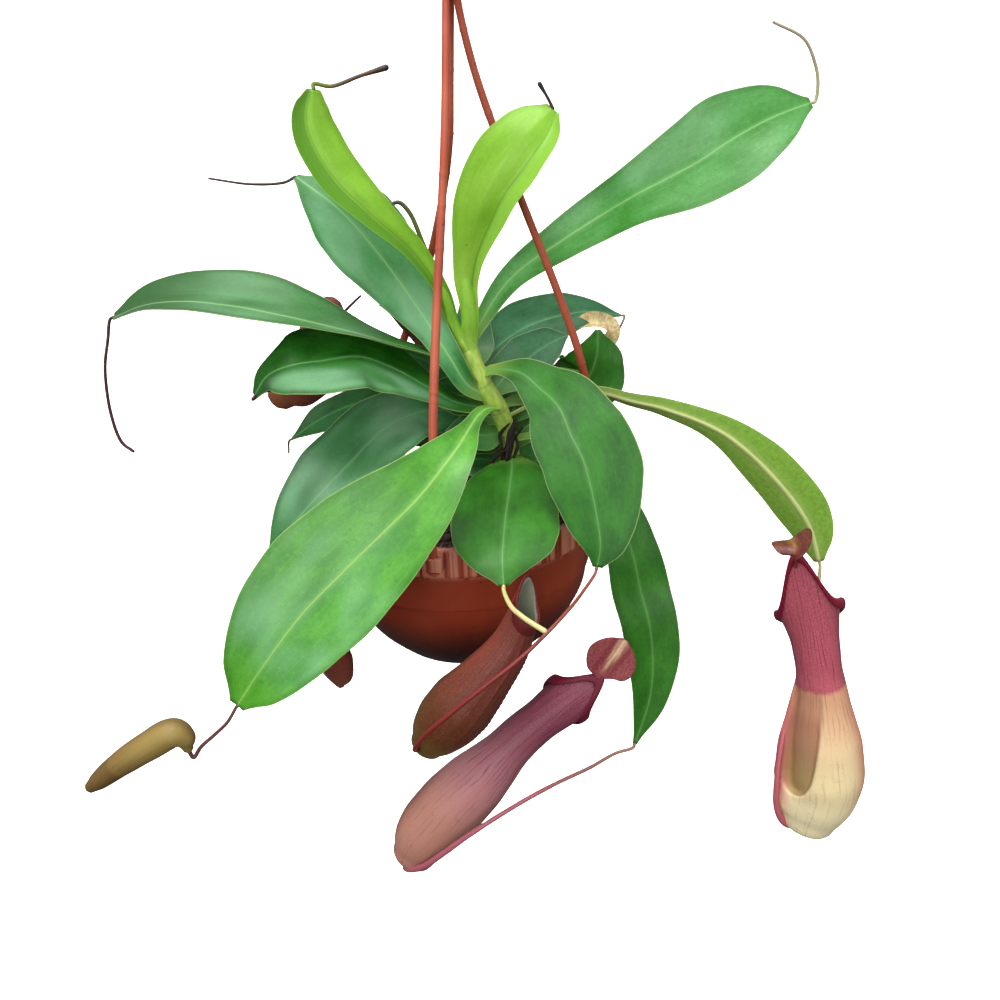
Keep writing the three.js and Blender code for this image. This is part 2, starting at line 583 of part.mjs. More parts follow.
const tendrils = {
  tendril_long_left: {
    path: [...tipOf('leaf_long_left'), [-172, -6, 101], [-176, -6, 86], [-177, -6, 62], [-174, -6, 47], [-169, -6, 42]],
    radii: [[0, 0.8], [1, 0.9]],
  },
  tendril_upper_left: {
    path: [...tipOf('leaf_upper_left'), [-80, 30, 167], [-102, 40, 169], [-125, 50, 172]],
    radii: [[0, 0.8], [1, 0.6]],
  },
  tendril_young_left: {
    path: [...tipOf('leaf_young_left'), [-50, -2, 214], [-36, -2, 218], [-24, -2, 221]],
    radii: [[0, 1], [1, 1.2]],
  },
  tendril_young_centre: {
    path: [...tipOf('leaf_young_centre'), [53, -2, 207], [48, -2, 212]],
    radii: [[0, 1], [1, 1]],
  },
  tendril_upper_right: {
    path: [...tipOf('leaf_upper_right'), [183, 18, 206], [181, 18, 215], [175, 18, 226], [160, 18, 234]],
    radii: [[0, 0.9], [1, 0.7]],
  },
  tendril_small_left: {
    path: [...tipOf('leaf_small_left'), [-94, 20, 29]],
    radii: [[0, 0.7], [1, 0.5]],
  },
  tendril_back_right: {
    path: [...tipOf('leaf_back_right_1'), [91, 51, 84], [87, 50, 77], [83, 48, 71]],
    radii: [[0, 0.7], [1, 0.5]],
  },
  tendril_front_small: {
    path: [...tipOf('leaf_front_small'), [23, -104, -8], [27, -113, -8], [31, -118, -9], [37, -121, -12]],
    radii: [[0, 0.9], [0.3, 1.1], [1, 1.2]],
    look: 'young',
  },
  tendril_front_left: {
    path: [...tipOf('leaf_front_left'), [-115, -94, -68], [-122, -93, -75], [-130, -93, -82], [-134, -94, -87],
      ...baseOf(pitcherAxes.young)],
    radii: [[0, 0.8], [1, 1.1]],
  },
  tendril_front_right: {
    path: [...tipOf('leaf_front_right'), [57, -84, -12], [50, -98, -13], [40, -109, -18], [26, -116, -28], [8, -119, -41],
      [-7, -118, -54], [-19, -115, -67], [-27, -106, -82], [-27, -93, -93], ...baseOf(pitcherAxes.front)],
    radii: [[0, 0.8], [1, 1.3]],
    steps: 22,
  },
  tendril_hanging_right: {
    path: [...tipOf('leaf_hanging_right'), [77, -42, -131], [62, -54, -131], [44, -70, -130], [29, -80, -132],
      [12, -84, -140], [-5, -84, -152], [-20, -79, -167], [-33, -70, -180], [-40, -61, -187],
      ...baseOf(pitcherAxes.middle)],
    radii: [[0, 0.9], [1, 1.4]],
    steps: 24,
  },
  tendril_arching_right: {
    path: [...tipOf('leaf_arching_right'), [203, 26, -78], [199, 23, -103], [190, 14, -130], [184, 6, -145],
      [179, 0, -162], [176, -4, -182], [176, -4, -202], [180, -3, -220], [188, -1, -230],
      ...baseOf(pitcherAxes.right)],
    radii: [[0, 1], [0.5, 1.3], [1, 2.2]],
    steps: 24,
  },
  tendril_lower_left: {
    path: [...tipOf('leaf_lower_left'), [-96, -48, -20], [-90, -54, -44], [-82, -54, -72], [-74, -53, -86],
      ...baseOf(pitcherAxes.hidden_low)],
    radii: [[0, 0.8], [1, 1.2]],
    steps: 16,
  },
  tendril_wide_left: {
    path: [...tipOf('leaf_wide_left'), [-100, -18, 78], [-104, 4, 62], [-102, 30, 46], [-98, 40, 40],
      ...baseOf(pitcherAxes.hidden_left)],
    radii: [[0, 0.8], [1, 1.2]],
    steps: 16,
  },
};
for (const [name, t] of Object.entries(tendrils)) {
  add(name, tube(t.path, t.radii, 5, t.steps || 10), t.look || 'tendril');
}
add('new_shoot', tube(
  [[3.3, 14.4, 89], [-1, 17, 95], [-7, 18, 102], [-12, 16, 114], [-11, 15, 131], [-14, 15, 141], [-19, 15, 154], [-24, 15, 159],
    [-30, 14, 157]],
  [[0, 1.2], [1, 0.8]], 5, 14,
), 'young');

// Pitchers. Three are open and hollow; the young one and the two half-hidden ones are closed.
add('pitcher_right', pitcher({
  axis: pitcherAxes.right,
  radii: [[0, 4.5], [0.05, 13], [0.12, 20], [0.25, 24], [0.42, 22], [0.58, 16], [0.72, 12.5], [0.86, 12], [0.95, 13], [1, 15.5]],
  lidSide: [-0.3, -0.95, 0],
  lean: 1.35,
  lip: 2.6,
  lid: { mid: [[0, 1.5, -5], [0, -1.5, 2], [-1, 1, 9], [-2, 9, 14], [-2, 19, 15]],
    width: [[0, 3], [0.25, 3], [0.5, 11], [0.8, 12], [1, 4]], face: facing([0, [-0.5, -0.3, 0.85]]), cup: -0.1 },
}), 'red');
add('pitcher_middle', pitcher({
  axis: pitcherAxes.middle,
  radii: [[0, 4], [0.06, 11], [0.15, 16], [0.3, 18], [0.45, 17], [0.65, 12], [0.85, 10.5], [1, 11.5]],
  lidSide: [0, -1, 0.2],
  lean: 1.35,
  lip: 2.2,
  lid: { mid: [[-5, 1.5, -3], [-1, -1, 0.5], [2, 0, 5], [8, 2, 11], [16, 5, 19]],
    width: [[0, 2.5], [0.2, 2.5], [0.5, 10], [0.8, 12], [1, 4]], face: facing([0, [0.2, -1, 0.2]]), cup: 0.1 },
}), 'red');
add('pitcher_front', pitcher({
  axis: pitcherAxes.front,
  radii: [[0, 4], [0.08, 11], [0.2, 15.5], [0.35, 16], [0.6, 12], [0.85, 8.5], [1, 8]],
  lidSide: [-0.5, 0.7, 0.5],
  lean: 1.2,
  lip: 1.2,
}), 'red');

function closedPitcher(axis, radii) {
  return tube(axis, radii, 10, 10);
}
add('pitcher_young', closedPitcher(pitcherAxes.young,
  [[0, 1.8], [0.1, 4.5], [0.3, 6.8], [0.6, 6.2], [0.85, 5], [0.95, 3.5], [1, 2]]), 'olive');
add('pitcher_hidden_low', closedPitcher(pitcherAxes.hidden_low,
  [[0, 2], [0.1, 6], [0.3, 8], [0.6, 6.5], [0.9, 5.5], [1, 3]]), 'red');
add('pitcher_hidden_left', closedPitcher(pitcherAxes.hidden_left,
  [[0, 2.5], [0.1, 8], [0.3, 11], [0.6, 9.5], [0.85, 9], [0.95, 8], [1, 4]]), 'red');

export default group;
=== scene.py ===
"""Looks of the hanging pitcher plant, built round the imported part.

Lengths are millimetres from a point RIM_DROP below the hook's seat, as in the part's source.
The pot's own sections count from its rim top, which lies POT_LIFT above that point.
place() turns all of them into the row's metres, where the hook's seat is the origin.
"""
import math

import bmesh
import bpy
import numpy as np
from mathutils import Matrix, Vector


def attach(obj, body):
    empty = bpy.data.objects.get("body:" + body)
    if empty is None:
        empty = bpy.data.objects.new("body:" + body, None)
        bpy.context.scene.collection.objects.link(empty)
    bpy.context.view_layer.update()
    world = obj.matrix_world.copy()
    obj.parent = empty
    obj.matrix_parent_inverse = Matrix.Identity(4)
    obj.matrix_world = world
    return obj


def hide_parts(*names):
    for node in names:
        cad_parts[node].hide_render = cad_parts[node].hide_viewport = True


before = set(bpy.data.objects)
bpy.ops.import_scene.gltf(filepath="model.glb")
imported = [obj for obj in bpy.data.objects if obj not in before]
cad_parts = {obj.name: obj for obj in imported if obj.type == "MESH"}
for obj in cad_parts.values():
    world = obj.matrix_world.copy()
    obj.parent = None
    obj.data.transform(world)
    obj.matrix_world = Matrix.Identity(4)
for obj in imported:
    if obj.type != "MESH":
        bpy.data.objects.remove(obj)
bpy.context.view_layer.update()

RIM_DROP = 304.0
POT_LIFT = 6.0
rng = np.random.default_rng(11)


# Curves

def keyed(keys, t, soft=0.025):
    """Values keyed along a path, read at t and eased over the corners between the keys."""
    stops = np.array([k[0] for k in keys], float)
    rows = np.array([np.ravel(k[1]) if np.ndim(k[1]) else [k[1]] for k in keys], float)
    t = np.asarray(t, float)
    total = sum(
        np.stack([np.interp(t + shift * soft, stops, row) for row in rows.T], -1)
        for shift in (-1, -0.5, 0, 0.5, 1)
    ) / 5
    return total if total.shape[-1] > 1 else total[..., 0]


def unit(vectors):
    return vectors / np.maximum(np.linalg.norm(vectors, axis=-1, keepdims=True), 1e-9)


class Path:
    """Centripetal curve through points, read at even lengths, with t from 0 to 1."""

    def __init__(self, points):
        p = np.array(points, float)
        p = np.vstack([2 * p[0] - p[1], p, 2 * p[-1] - p[-2]])
        t = np.linspace(0, 1, 48, endpoint=False)[:, None]
        runs = []
        for a, b, c, d in zip(p, p[1:], p[2:], p[3:]):
            k0, k1, k2 = (max(np.linalg.norm(v - u) ** 0.5, 1e-3) for u, v in ((a, b), (b, c), (c, d)))
            out = ((b - a) / k0 - (c - a) / (k0 + k1) + (c - b) / k1) * k1
            into = ((c - b) / k1 - (d - b) / (k1 + k2) + (d - c) / k2) * k1
            runs.append(
                b + out * t + (3 * c - 3 * b - 2 * out - into) * t**2 + (2 * b - 2 * c + out + into) * t**3
            )
        runs.append(p[-2:-1])
        self.points = np.vstack(runs)
        steps = np.linalg.norm(np.diff(self.points, axis=0), axis=1)
        self.s = np.concatenate([[0], np.cumsum(steps)])
        self.length = self.s[-1]

    def at(self, t):
        s = np.clip(t, 0, 1) * self.length
        return np.stack([np.interp(s, self.s, c) for c in self.points.T], -1)

    def tangent(self, t):
        t = np.asarray(t, float)
        return unit(self.at(np.minimum(t + 0.004, 1)) - self.at(np.maximum(t - 0.004, 0)))


def travelling_sides(tangents, hint):
    """A side direction for each tangent that doesn't twist about the path."""
    side = np.array(hint, float)
    sides = []
    for tangent in tangents:
        side = side - side.dot(tangent) * tangent
        side = side / np.linalg.norm(side)
        sides.append(side)
    return np.array(sides)


def ripples(x, y, seed):
    """Smooth uneven values from -1 to 1 over a plane, in waves of about 6 units and more."""
    draw = np.random.default_rng(seed)
    total = 0
    for _ in range(6):
        a, b, c = draw.uniform(-1, 1, 3)
        total = total + np.sin(a * x + b * y + 6.3 * c)
    return total / 6


# Meshes

def place(points):
    out = np.array(points, float) * 0.001
    out[..., 2] -= RIM_DROP * 0.001
    return out


def thing(name, body, look=None, sharp=None):
    """A (points, faces, marks) body as an object in place."""
    points, faces, marks = body
    mesh = bpy.data.meshes.new(name)
    mesh.from_pydata(place(np.reshape(points, (-1, 3))).tolist(), [], faces)
    for key, values in marks.items():
        layer = mesh.attributes.new(key, "FLOAT", "POINT")
        layer.data.foreach_set("value", np.asarray(values, np.float32).ravel())
    mesh.shade_smooth()
    if sharp:
        mesh.set_sharp_from_angle(angle=math.radians(sharp))
    if look:
        mesh.materials.append(look)
    obj = bpy.data.objects.new(name, mesh)
    bpy.context.scene.collection.objects.link(obj)
    return obj


def carved(obj, joins, cuts, sharp=30):
    """obj with other objects joined to it and cut from it, for good."""
    for operation, tools in (("UNION", joins), ("DIFFERENCE", cuts)):
        for tool in tools:
            step = obj.modifiers.new(operation, "BOOLEAN")
            step.operation, step.solver, step.object = operation, "EXACT", tool
    solid = obj.evaluated_get(bpy.context.evaluated_depsgraph_get())
    mesh = bpy.data.meshes.new_from_object(solid)
    obj.modifiers.clear()
    obj.data = mesh
    mesh.shade_smooth()
    mesh.set_sharp_from_angle(angle=math.radians(sharp))
    for tool in (*joins, *cuts):
        bpy.data.objects.remove(tool)
    return obj


def piece(name, body, look, nodes=(), sharp=None):
    """A body or a made object as a piece of the plant and the CAD nodes that it replaces."""
    obj = body if isinstance(body, bpy.types.Object) else thing(name, body, look, sharp)
    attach(obj, "root")
    if nodes:
        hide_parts(*nodes)
    return obj


def ring_faces(rows, count):
    """Quads between closed rings of count points, with one face over each end."""
    faces = []
    for i in range(rows - 1):
        for j in range(count):
            a, b = i * count + j, i * count + (j + 1) % count
            faces.append((a, b, b + count, a + count))
    faces.append(tuple(range(count - 1, -1, -1)))
    faces.append(tuple((rows - 1) * count + j for j in range(count)))
    return faces


def eased(points, count):
    """A stretch of a section, eased through its points."""
    path = Path([(x, 0, z) for x, z in points])
    return [(p[0], p[2]) for p in path.at(np.linspace(0, 1, count))]


def lathe(section, sides, centre=(0, 0), lift=POT_LIFT):
    """A closed body turned about a vertical axis, from a section whose ends lie near that axis."""
    section = np.array(section, float)
    a = np.linspace(0, 2 * np.pi, sides, endpoint=False)
    x = centre[0] + np.outer(section[:, 0], np.cos(a))
    y = centre[1] + np.outer(section[:, 0], np.sin(a))
    z = np.broadcast_to(section[:, 1:] + lift, x.shape)
    return np.stack([x, y, z], -1), ring_faces(*x.shape), {}


def block(size, bevel, matrix):
    """A rounded block."""
    shape = bmesh.new()
    bmesh.ops.create_cube(shape, size=1.0, matrix=Matrix.Diagonal((*size, 1)))
    bmesh.ops.bevel(shape, geom=shape.edges[:], offset=bevel, segments=3, profile=0.5, affect="EDGES")
    shape.transform(matrix)
    points = [tuple(v.co) for v in shape.verts]
    faces = [tuple(v.index for v in f.verts) for f in shape.faces]
    shape.free()
    return points, faces, {}


def merged(bodies):
    """Several bodies as one."""
    points, faces, marks, start = [], [], {}, 0
    for p, f, m in bodies:
        p = np.reshape(p, (-1, 3))
        points.append(p)
        faces.extend(tuple(i + start for i in face) for face in f)
        for key, values in m.items():
            marks.setdefault(key, []).append(np.ravel(values))
        start += len(p)
    return np.vstack(points), faces, {k: np.concatenate(v) for k, v in marks.items()}


def tube(points, radii, sides=14, steps=80, hint=(0.31, 0.9, 0.3), rough=0.0, seed=1):
    """A round stalk with domed ends. rough varies its radius by that share."""
    path = Path(points)
    t = np.linspace(0, 1, steps + 1)
    r = keyed(radii, t) * (1 + rough * ripples(t * path.length * 0.5, 0, seed))
    at, tangent = path.at(t), path.tangent(t)
    side = travelling_sides(tangent, hint)
    dome = np.array([0.5, 0.85, 0.99])
    shrink = np.sqrt(1 - dome**2)
    at = np.vstack(
        [
            (at[0] - np.outer(dome, tangent[0]) * r[0])[::-1], at,
            at[-1] + np.outer(dome, tangent[-1]) * r[-1],
        ]
    )
    r = np.concatenate([r[0] * shrink[::-1], r, r[-1] * shrink])
    t = np.pad(t, 3, mode="edge")
    tangent = np.pad(tangent, ((3, 3), (0, 0)), mode="edge")
    side = np.pad(side, ((3, 3), (0, 0)), mode="edge")
    cross = np.cross(tangent, side)
    a = np.linspace(0, 2 * np.pi, sides, endpoint=False)
    ring = np.cos(a)[None, :, None] * side[:, None] + np.sin(a)[None, :, None] * cross[:, None]
    body = at[:, None] + r[:, None, None] * ring
    shape = body.shape[:2]
    marks = {
        "reach": np.broadcast_to(t[:, None], shape),
        "along": np.broadcast_to((t * path.length)[:, None], shape),
        "turn": np.broadcast_to(a[None] / (2 * np.pi), shape),
    }
    return body, ring_faces(*shape), marks


HALF_ACROSS = np.array([0.03, 0.07, 0.14, 0.24, 0.36, 0.48, 0.6, 0.71, 0.81, 0.89, 0.95, 0.985, 1.0])
ACROSS = np.concatenate([-HALF_ACROSS[::-1], [0], HALF_ACROSS])


def blade(
    mid, width, face, cup=0.15, wave=0.0, fold=0.0, crease=0.0, skew=0.0, steps=96, rib=0.9, uneven=0.2,
    thick=0.42, seed=3,
):
    """A leaf along its midrib: a thin closed body with a raised midrib, soft waves and a thin margin.

    crease is where the midrib lies across the leaf, and fold lifts the part beyond it.
    """
    path = Path(mid)
    t = np.linspace(0, 1, steps + 1)
    at, tangent = path.at(t), path.tangent(t)
    facing = np.broadcast_to(np.atleast_2d(keyed(face, t, 0.05)), at.shape)
    facing = unit(facing - (facing * tangent).sum(1, keepdims=True) * tangent)
    side = np.cross(tangent, facing)
    half = np.maximum(keyed(width, t, 0.03), 0.45)
    s = ACROSS[None]
    t2, half2 = t[:, None], half[:, None]
    x = half2 * s * (1 + skew * s)
    folded = 1 if crease >= 0 else -1
    lift = cup * half2 * np.abs(s) ** 1.4 + fold * half2 * np.maximum(0, folded * (s - crease)) ** 1.4
    lift = lift + wave * np.abs(s) * np.sin(11 * t2 + 1.7 * s) * np.minimum(1, half2 / 10)
    calm = np.minimum(1, half2 / 12)
    lift = lift + uneven * calm * ripples(t2 * path.length * 0.3, x * 0.42, seed)
    width_of_rib = 1.1 + 0.8 * (1 - t2)
    from_rib = x - crease * half2
    ridge = np.exp(-((from_rib / width_of_rib) ** 2)) * np.minimum(1, half2 / 3)
    rows = []
    for sign in (1, -1):
        height = sign * thick * (1.0 - 0.55 * s**4)
        height = height + (0.22 if sign > 0 else -rib) * ridge * (1.1 - 0.6 * t2)
        out = (lift + height)[..., None]
        rows.append(at[:, None] + side[:, None] * x[..., None] + facing[:, None] * out)
    body = np.concatenate([rows[0], rows[1][:, ::-1]], axis=1)
    inset = half2 * (1 - np.abs(s)) + 0 * x

    def both(values):
        values = np.broadcast_to(values, x.shape)
        return np.concatenate([values, values[:, ::-1]], axis=1)

    marks = {
        "flap": both(folded * from_rib),
        "across": both(from_rib),
        "inset": both(inset),
        "along": both(t2 * path.length),
        "reach": both(t2),
        "share": both(s),
        "upper": np.concatenate([np.ones_like(x), np.zeros_like(x)], axis=1),
    }
    return body, ring_faces(*body.shape[:2]), marks


# Materials

def srgb(r, g, b):
    """A colour read from the photo, 0 to 255, as the linear colour that a shader takes."""
    return [*(((c / 255 + 0.055) / 1.055) ** 2.4 if c > 10 else c / 3294 for c in (r, g, b)), 1.0]


def toned(colour, share, more=0):
    """A colour as read, times share and plus more."""
    return tuple(min(255, share * c + more) for c in colour)


class Wire:
    """A node's output. Sums and products of wires and numbers add the nodes that work them out."""

    def __init__(self, look, socket):
        self.look = look
        self.socket = socket

    def __add__(self, other):
        return self.look.math("ADD", self, other)

    def __sub__(self, other):
        return self.look.math("SUBTRACT", self, other)

    def __rsub__(self, other):
        return self.look.math("SUBTRACT", other, self)

    def __mul__(self, other):
        return self.look.math("MULTIPLY", self, other)

    def __truediv__(self, other):
        return self.look.math("DIVIDE", self, other)

    def __abs__(self):
        return self.look.math("ABSOLUTE", self)


class Look:
    """A Principled material, with short calls for the nodes that feed it."""

    def __init__(self, name, **settings):
        self.material = bpy.data.materials.new(name)
        self.material.use_nodes = True
        self.tree = self.material.node_tree
        self.shader = self.tree.nodes["Principled BSDF"]
        self.here = self.wire("Object", "ShaderNodeTexCoord")
        for key, value in settings.items():
            self.shader.inputs[key.replace("_", " ")].default_value = value

    def node(self, kind, inputs=None, **settings):
        node = self.tree.nodes.new(kind)
        for key, value in settings.items():
            setattr(node, key, value)
        for key, value in (inputs or {}).items():
            self.feed(node.inputs[key], value)
        return node

    def feed(self, socket, value):
        if isinstance(value, Wire):
            self.tree.links.new(value.socket, socket)
        else:
            socket.default_value = value

    def wire(self, output, kind, inputs=None, **settings):
        return Wire(self, self.node(kind, inputs, **settings).outputs[output])

    def mark(self, name):
        return self.wire("Fac", "ShaderNodeAttribute", attribute_name=name)

    def math(self, operation, a, b=0.0):
        return self.wire(0, "ShaderNodeMath", {0: a, 1: b}, operation=operation)

    def sine(self, a):
        return self.math("SINE", a)

    def ease(self, value, low, high, start=0.0, end=1.0):
        """start to end, smoothly, as value goes from low to high."""
        inputs = {"Value": value, "From Min": low, "From Max": high, "To Min": start, "To Max": end}
        return self.wire("Result", "ShaderNodeMapRange", inputs, interpolation_type="SMOOTHSTEP")

    def mix(self, share, a, b):
        """a, turned towards b by share. A tuple is a colour as read, from 0 to 255."""
        a, b = (srgb(*c) if isinstance(c, tuple) else c for c in (a, b))
        return self.wire(2, "ShaderNodeMix", {0: share, 6: a, 7: b}, data_type="RGBA")

    def tint(self, colour, tone, value, low, high, most=1.0):
        """colour, turned towards tone by 0 to most as value goes from low to high."""
        return self.mix(self.ease(value, low, high, 0.0, most), colour, tone)

    def space(self, x, y, z=0.0):
        return self.wire(0, "ShaderNodeCombineXYZ", {0: x, 1: y, 2: z})

    def noise(self, scale, detail, where=None, rough=0.5):
        inputs = {"Vector": where or self.here, "Scale": scale, "Detail": detail, "Roughness": rough}
        return self.wire("Fac", "ShaderNodeTexNoise", inputs)

    def cells(self, scale, where=None, feature="F1"):
        """How far the nearest centre, or edge, of a cell is."""
        inputs = {"Vector": where or self.here, "Scale": scale}
        return self.wire("Distance", "ShaderNodeTexVoronoi", inputs, feature=feature)

    def specks(self, scale, size, share, where=None):
        """1 inside small round spots, in that share of the cells of a grid."""
        node = self.node("ShaderNodeTexVoronoi", {"Vector": where or self.here, "Scale": scale})
        near = self.ease(Wire(self, node.outputs["Distance"]), size * 1.25, size * 0.7)
        pick = self.wire("Red", "ShaderNodeSeparateColor", {0: Wire(self, node.outputs["Color"])})
        return near * self.math("LESS_THAN", pick, share)

    def colour(self, value):
        self.feed(self.shader.inputs["Base Color"], value)

    def roughness(self, value):
        self.feed(self.shader.inputs["Roughness"], value)

    def bump(self, height, strength, distance):
        inputs = {"Height": height, "Strength": strength, "Distance": distance}
        self.feed(self.shader.inputs["Normal"], self.wire("Normal", "ShaderNodeBump", inputs))


def leaf_look(
    name, deep, fresh, under, rib, rim=(176, 200, 122), rib_width=0.4, gloss=0.4, rib_share=0.6, flap=None,
    foot=(150, 184, 84), foot_reach=26.0, mottled=1.0, sheen=0.05, painted_sheen=None, tip=None,
):
    """Waxy leaf: mottled green, fine veins, pale midrib and margin, paler underside and foot, dark specks.

    The painted sheen sets how strong the pale patches of painted sky reflection are, which side has them or
    0 for both, and where they start.
    flap is the tone beyond the crease, and mottled the strength of the mottling.
    """
    look = Look(name, Coat_Weight=sheen, Coat_Roughness=0.28, Specular_IOR_Level=0.36)
    across, inset, along = look.mark("across"), look.mark("inset"), look.mark("along")
    upper, reach, share = look.mark("upper"), look.mark("reach"), look.mark("share")
    flat = look.space(along, across, upper * 60.0)
    stretched = look.space(along * 0.25, across, 3.0)
    broad = look.space(along * 0.5, across, upper)
    patches = look.noise(0.07, 2, broad)
    green = look.tint(deep, fresh, patches, 0.3, 0.7)
    mottle = look.noise(0.4, 5, flat, 0.68)
    green = look.tint(green, toned(deep, 0.76), mottle, 0.48, 0.72, 0.4 * mottled)
    green = look.tint(green, toned(fresh, 1.14, 8), mottle, 0.46, 0.28, 0.35 * mottled)
    green = look.tint(green, toned(deep, 0.72), inset, 5.0, 0.4, 0.3)
    if painted_sheen:
        amount, side, start = painted_sheen
        # painted sheen: pale blue-green patches that stand in for reflections of the sky on the glossy
        # blade
        sheen_and_gloss = look.ease(look.noise(0.05, 1, broad), 0.34, 0.66, 0.2, 1.0)
        sheen_and_gloss = sheen_and_gloss * look.ease(reach, start - 0.15, start + 0.15)
        sheen_and_gloss = sheen_and_gloss * look.ease(reach, 0.96, 0.82)
        sheen_and_gloss = sheen_and_gloss * look.ease(inset, 0.5, 4.0, 0.3, 1.0)
        if side:
            sheen_and_gloss = sheen_and_gloss * look.ease(share * side, 0.0, 0.45)
        green = look.mix(sheen_and_gloss * amount, green, (150, 208, 160))
    if tip:
        green = look.tint(green, tip, reach, 0.66, 0.86, 0.85)
    back = look.tint(under, toned(under, 0.86), mottle, 0.3, 0.7)
    if flap:
        green = look.tint(green, flap, look.mark("flap"), 0.0, 1.6)
    colour = look.mix(upper, back, green)
    colour = look.tint(colour, foot, along, foot_reach, 3.0, 0.75)
    lines = look.sine(abs(share) * 40.0)
    lines = look.ease(lines, 0.72, 1.0) * look.ease(look.noise(0.35, 2, stretched), 0.35, 0.7)
    colour = look.mix(lines * 0.14, colour, toned(fresh, 1.15, 14))
    net = look.cells(0.5, look.space(along * 0.55, across, upper), "DISTANCE_TO_EDGE")
    net = look.ease(net, 0.07, 0.0)
    colour = look.mix(net * 0.1, colour, toned(deep, 0.7))
    off = abs(across) / ((1.0 - reach) * 0.45 + rib_width)
    colour = look.tint(colour, rib, off, 4.5, 0.8, 0.15)
    colour = look.tint(colour, rib, off, 1.05, 0.4, rib_share)
    colour = look.tint(colour, rim, inset, 0.5, 0.2, 0.5)
    spots = look.specks(0.12, 0.05, 0.22, flat)
    dust = look.specks(0.45, 0.1, 0.1, flat)
    colour = look.mix(spots * 0.7, colour, (34, 40, 18))
    colour = look.mix(dust * 0.35, colour, (50, 60, 26))
    look.colour(colour)
    sheen_and_gloss = look.noise(0.3, 3, flat)
    look.roughness(look.ease(sheen_and_gloss, 0.35, 0.7, gloss - 0.03, gloss + 0.05))
    look.bump(mottle * 0.7 + net * -0.2 + lines * 0.35, 0.35, 0.0003)
    return look.material


def stalk_look(name, start, end, tip=None, gloss=0.42):
    """Tendril or stalk whose colour runs from start to end, with fine long streaks and grain."""
    look = Look(name, Coat_Weight=0.1, Coat_Roughness=0.3)
    reach, along, turn = look.mark("reach"), look.mark("along"), look.mark("turn")
    colour = look.tint(start, end, reach, 0.03, 0.5)
    if tip:
        colour = look.tint(colour, tip, reach, 0.72, 1.0)
    where = look.space(along * 0.12, turn * 7.0)
    streak = look.noise(1.4, 3, where)
    colour = look.tint(colour, toned(end, 0.6), streak, 0.45, 0.75, 0.25)
    grain = look.noise(900, 3)
    colour = look.tint(colour, toned(end, 1.25, 12), grain, 0.55, 0.8, 0.3)
    look.colour(colour)
    look.roughness(look.ease(streak, 0.3, 0.7, gloss - 0.06, gloss + 0.12))
    look.bump(grain + streak, 0.3, 0.0002)
    return look.material


def dry_look(name, dark, light):
    """Dry plant matter: fibres, patches and faint bands across."""
    look = Look(name)
    along = look.mark("along")
    fibre = look.noise(420, 4, None, 0.65)
    colour = look.tint(dark, light, fibre, 0.35, 0.65)
    colour = look.tint(colour, toned(light, 0.6), look.noise(90, 2), 0.4, 0.6, 0.5)
    bands = look.sine(along * 5.0)
    look.colour(look.tint(colour, toned(light, 1.2), bands, 0.6, 1.0, 0.25))
    look.roughness(look.ease(fibre, 0.3, 0.7, 0.75, 0.95))
    look.bump(fibre, 0.7, 0.0006)
    return look.material


def soil_look(name, dark, light):
    """Crumbly mix, with painted shade in the gaps between its clods."""
    look = Look(name)
    grain = look.noise(700, 4, None, 0.7)
    clod = look.cells(260)
    colour = look.tint(dark, light, grain, 0.42, 0.72)
    # painted shade: darker away from each clod's middle, in the gaps between clods
    colour = look.tint(colour, toned(dark, 0.5), clod, 0.2, 0.7, 0.6)
    look.colour(colour)
    look.roughness(look.ease(grain, 0.3, 0.7, 0.8, 0.98))
    look.bump(grain + clod, 0.8, 0.0008)
    return look.material


# Where the pot's painted shade and its scuffed, partly highlighted rim band begin and end, in the row's
# metres: heights, and the reach from its axis
FOOT_SHADE = (-0.328, -0.368)
SCUFFED_HIGHLIGHT_BAND = (-0.3165, -0.3105)
INNER_WALL_SHADE_HEIGHT = (-0.332, -0.326)
INNER_WALL_SHADE_REACH = (0.0668, 0.0656)


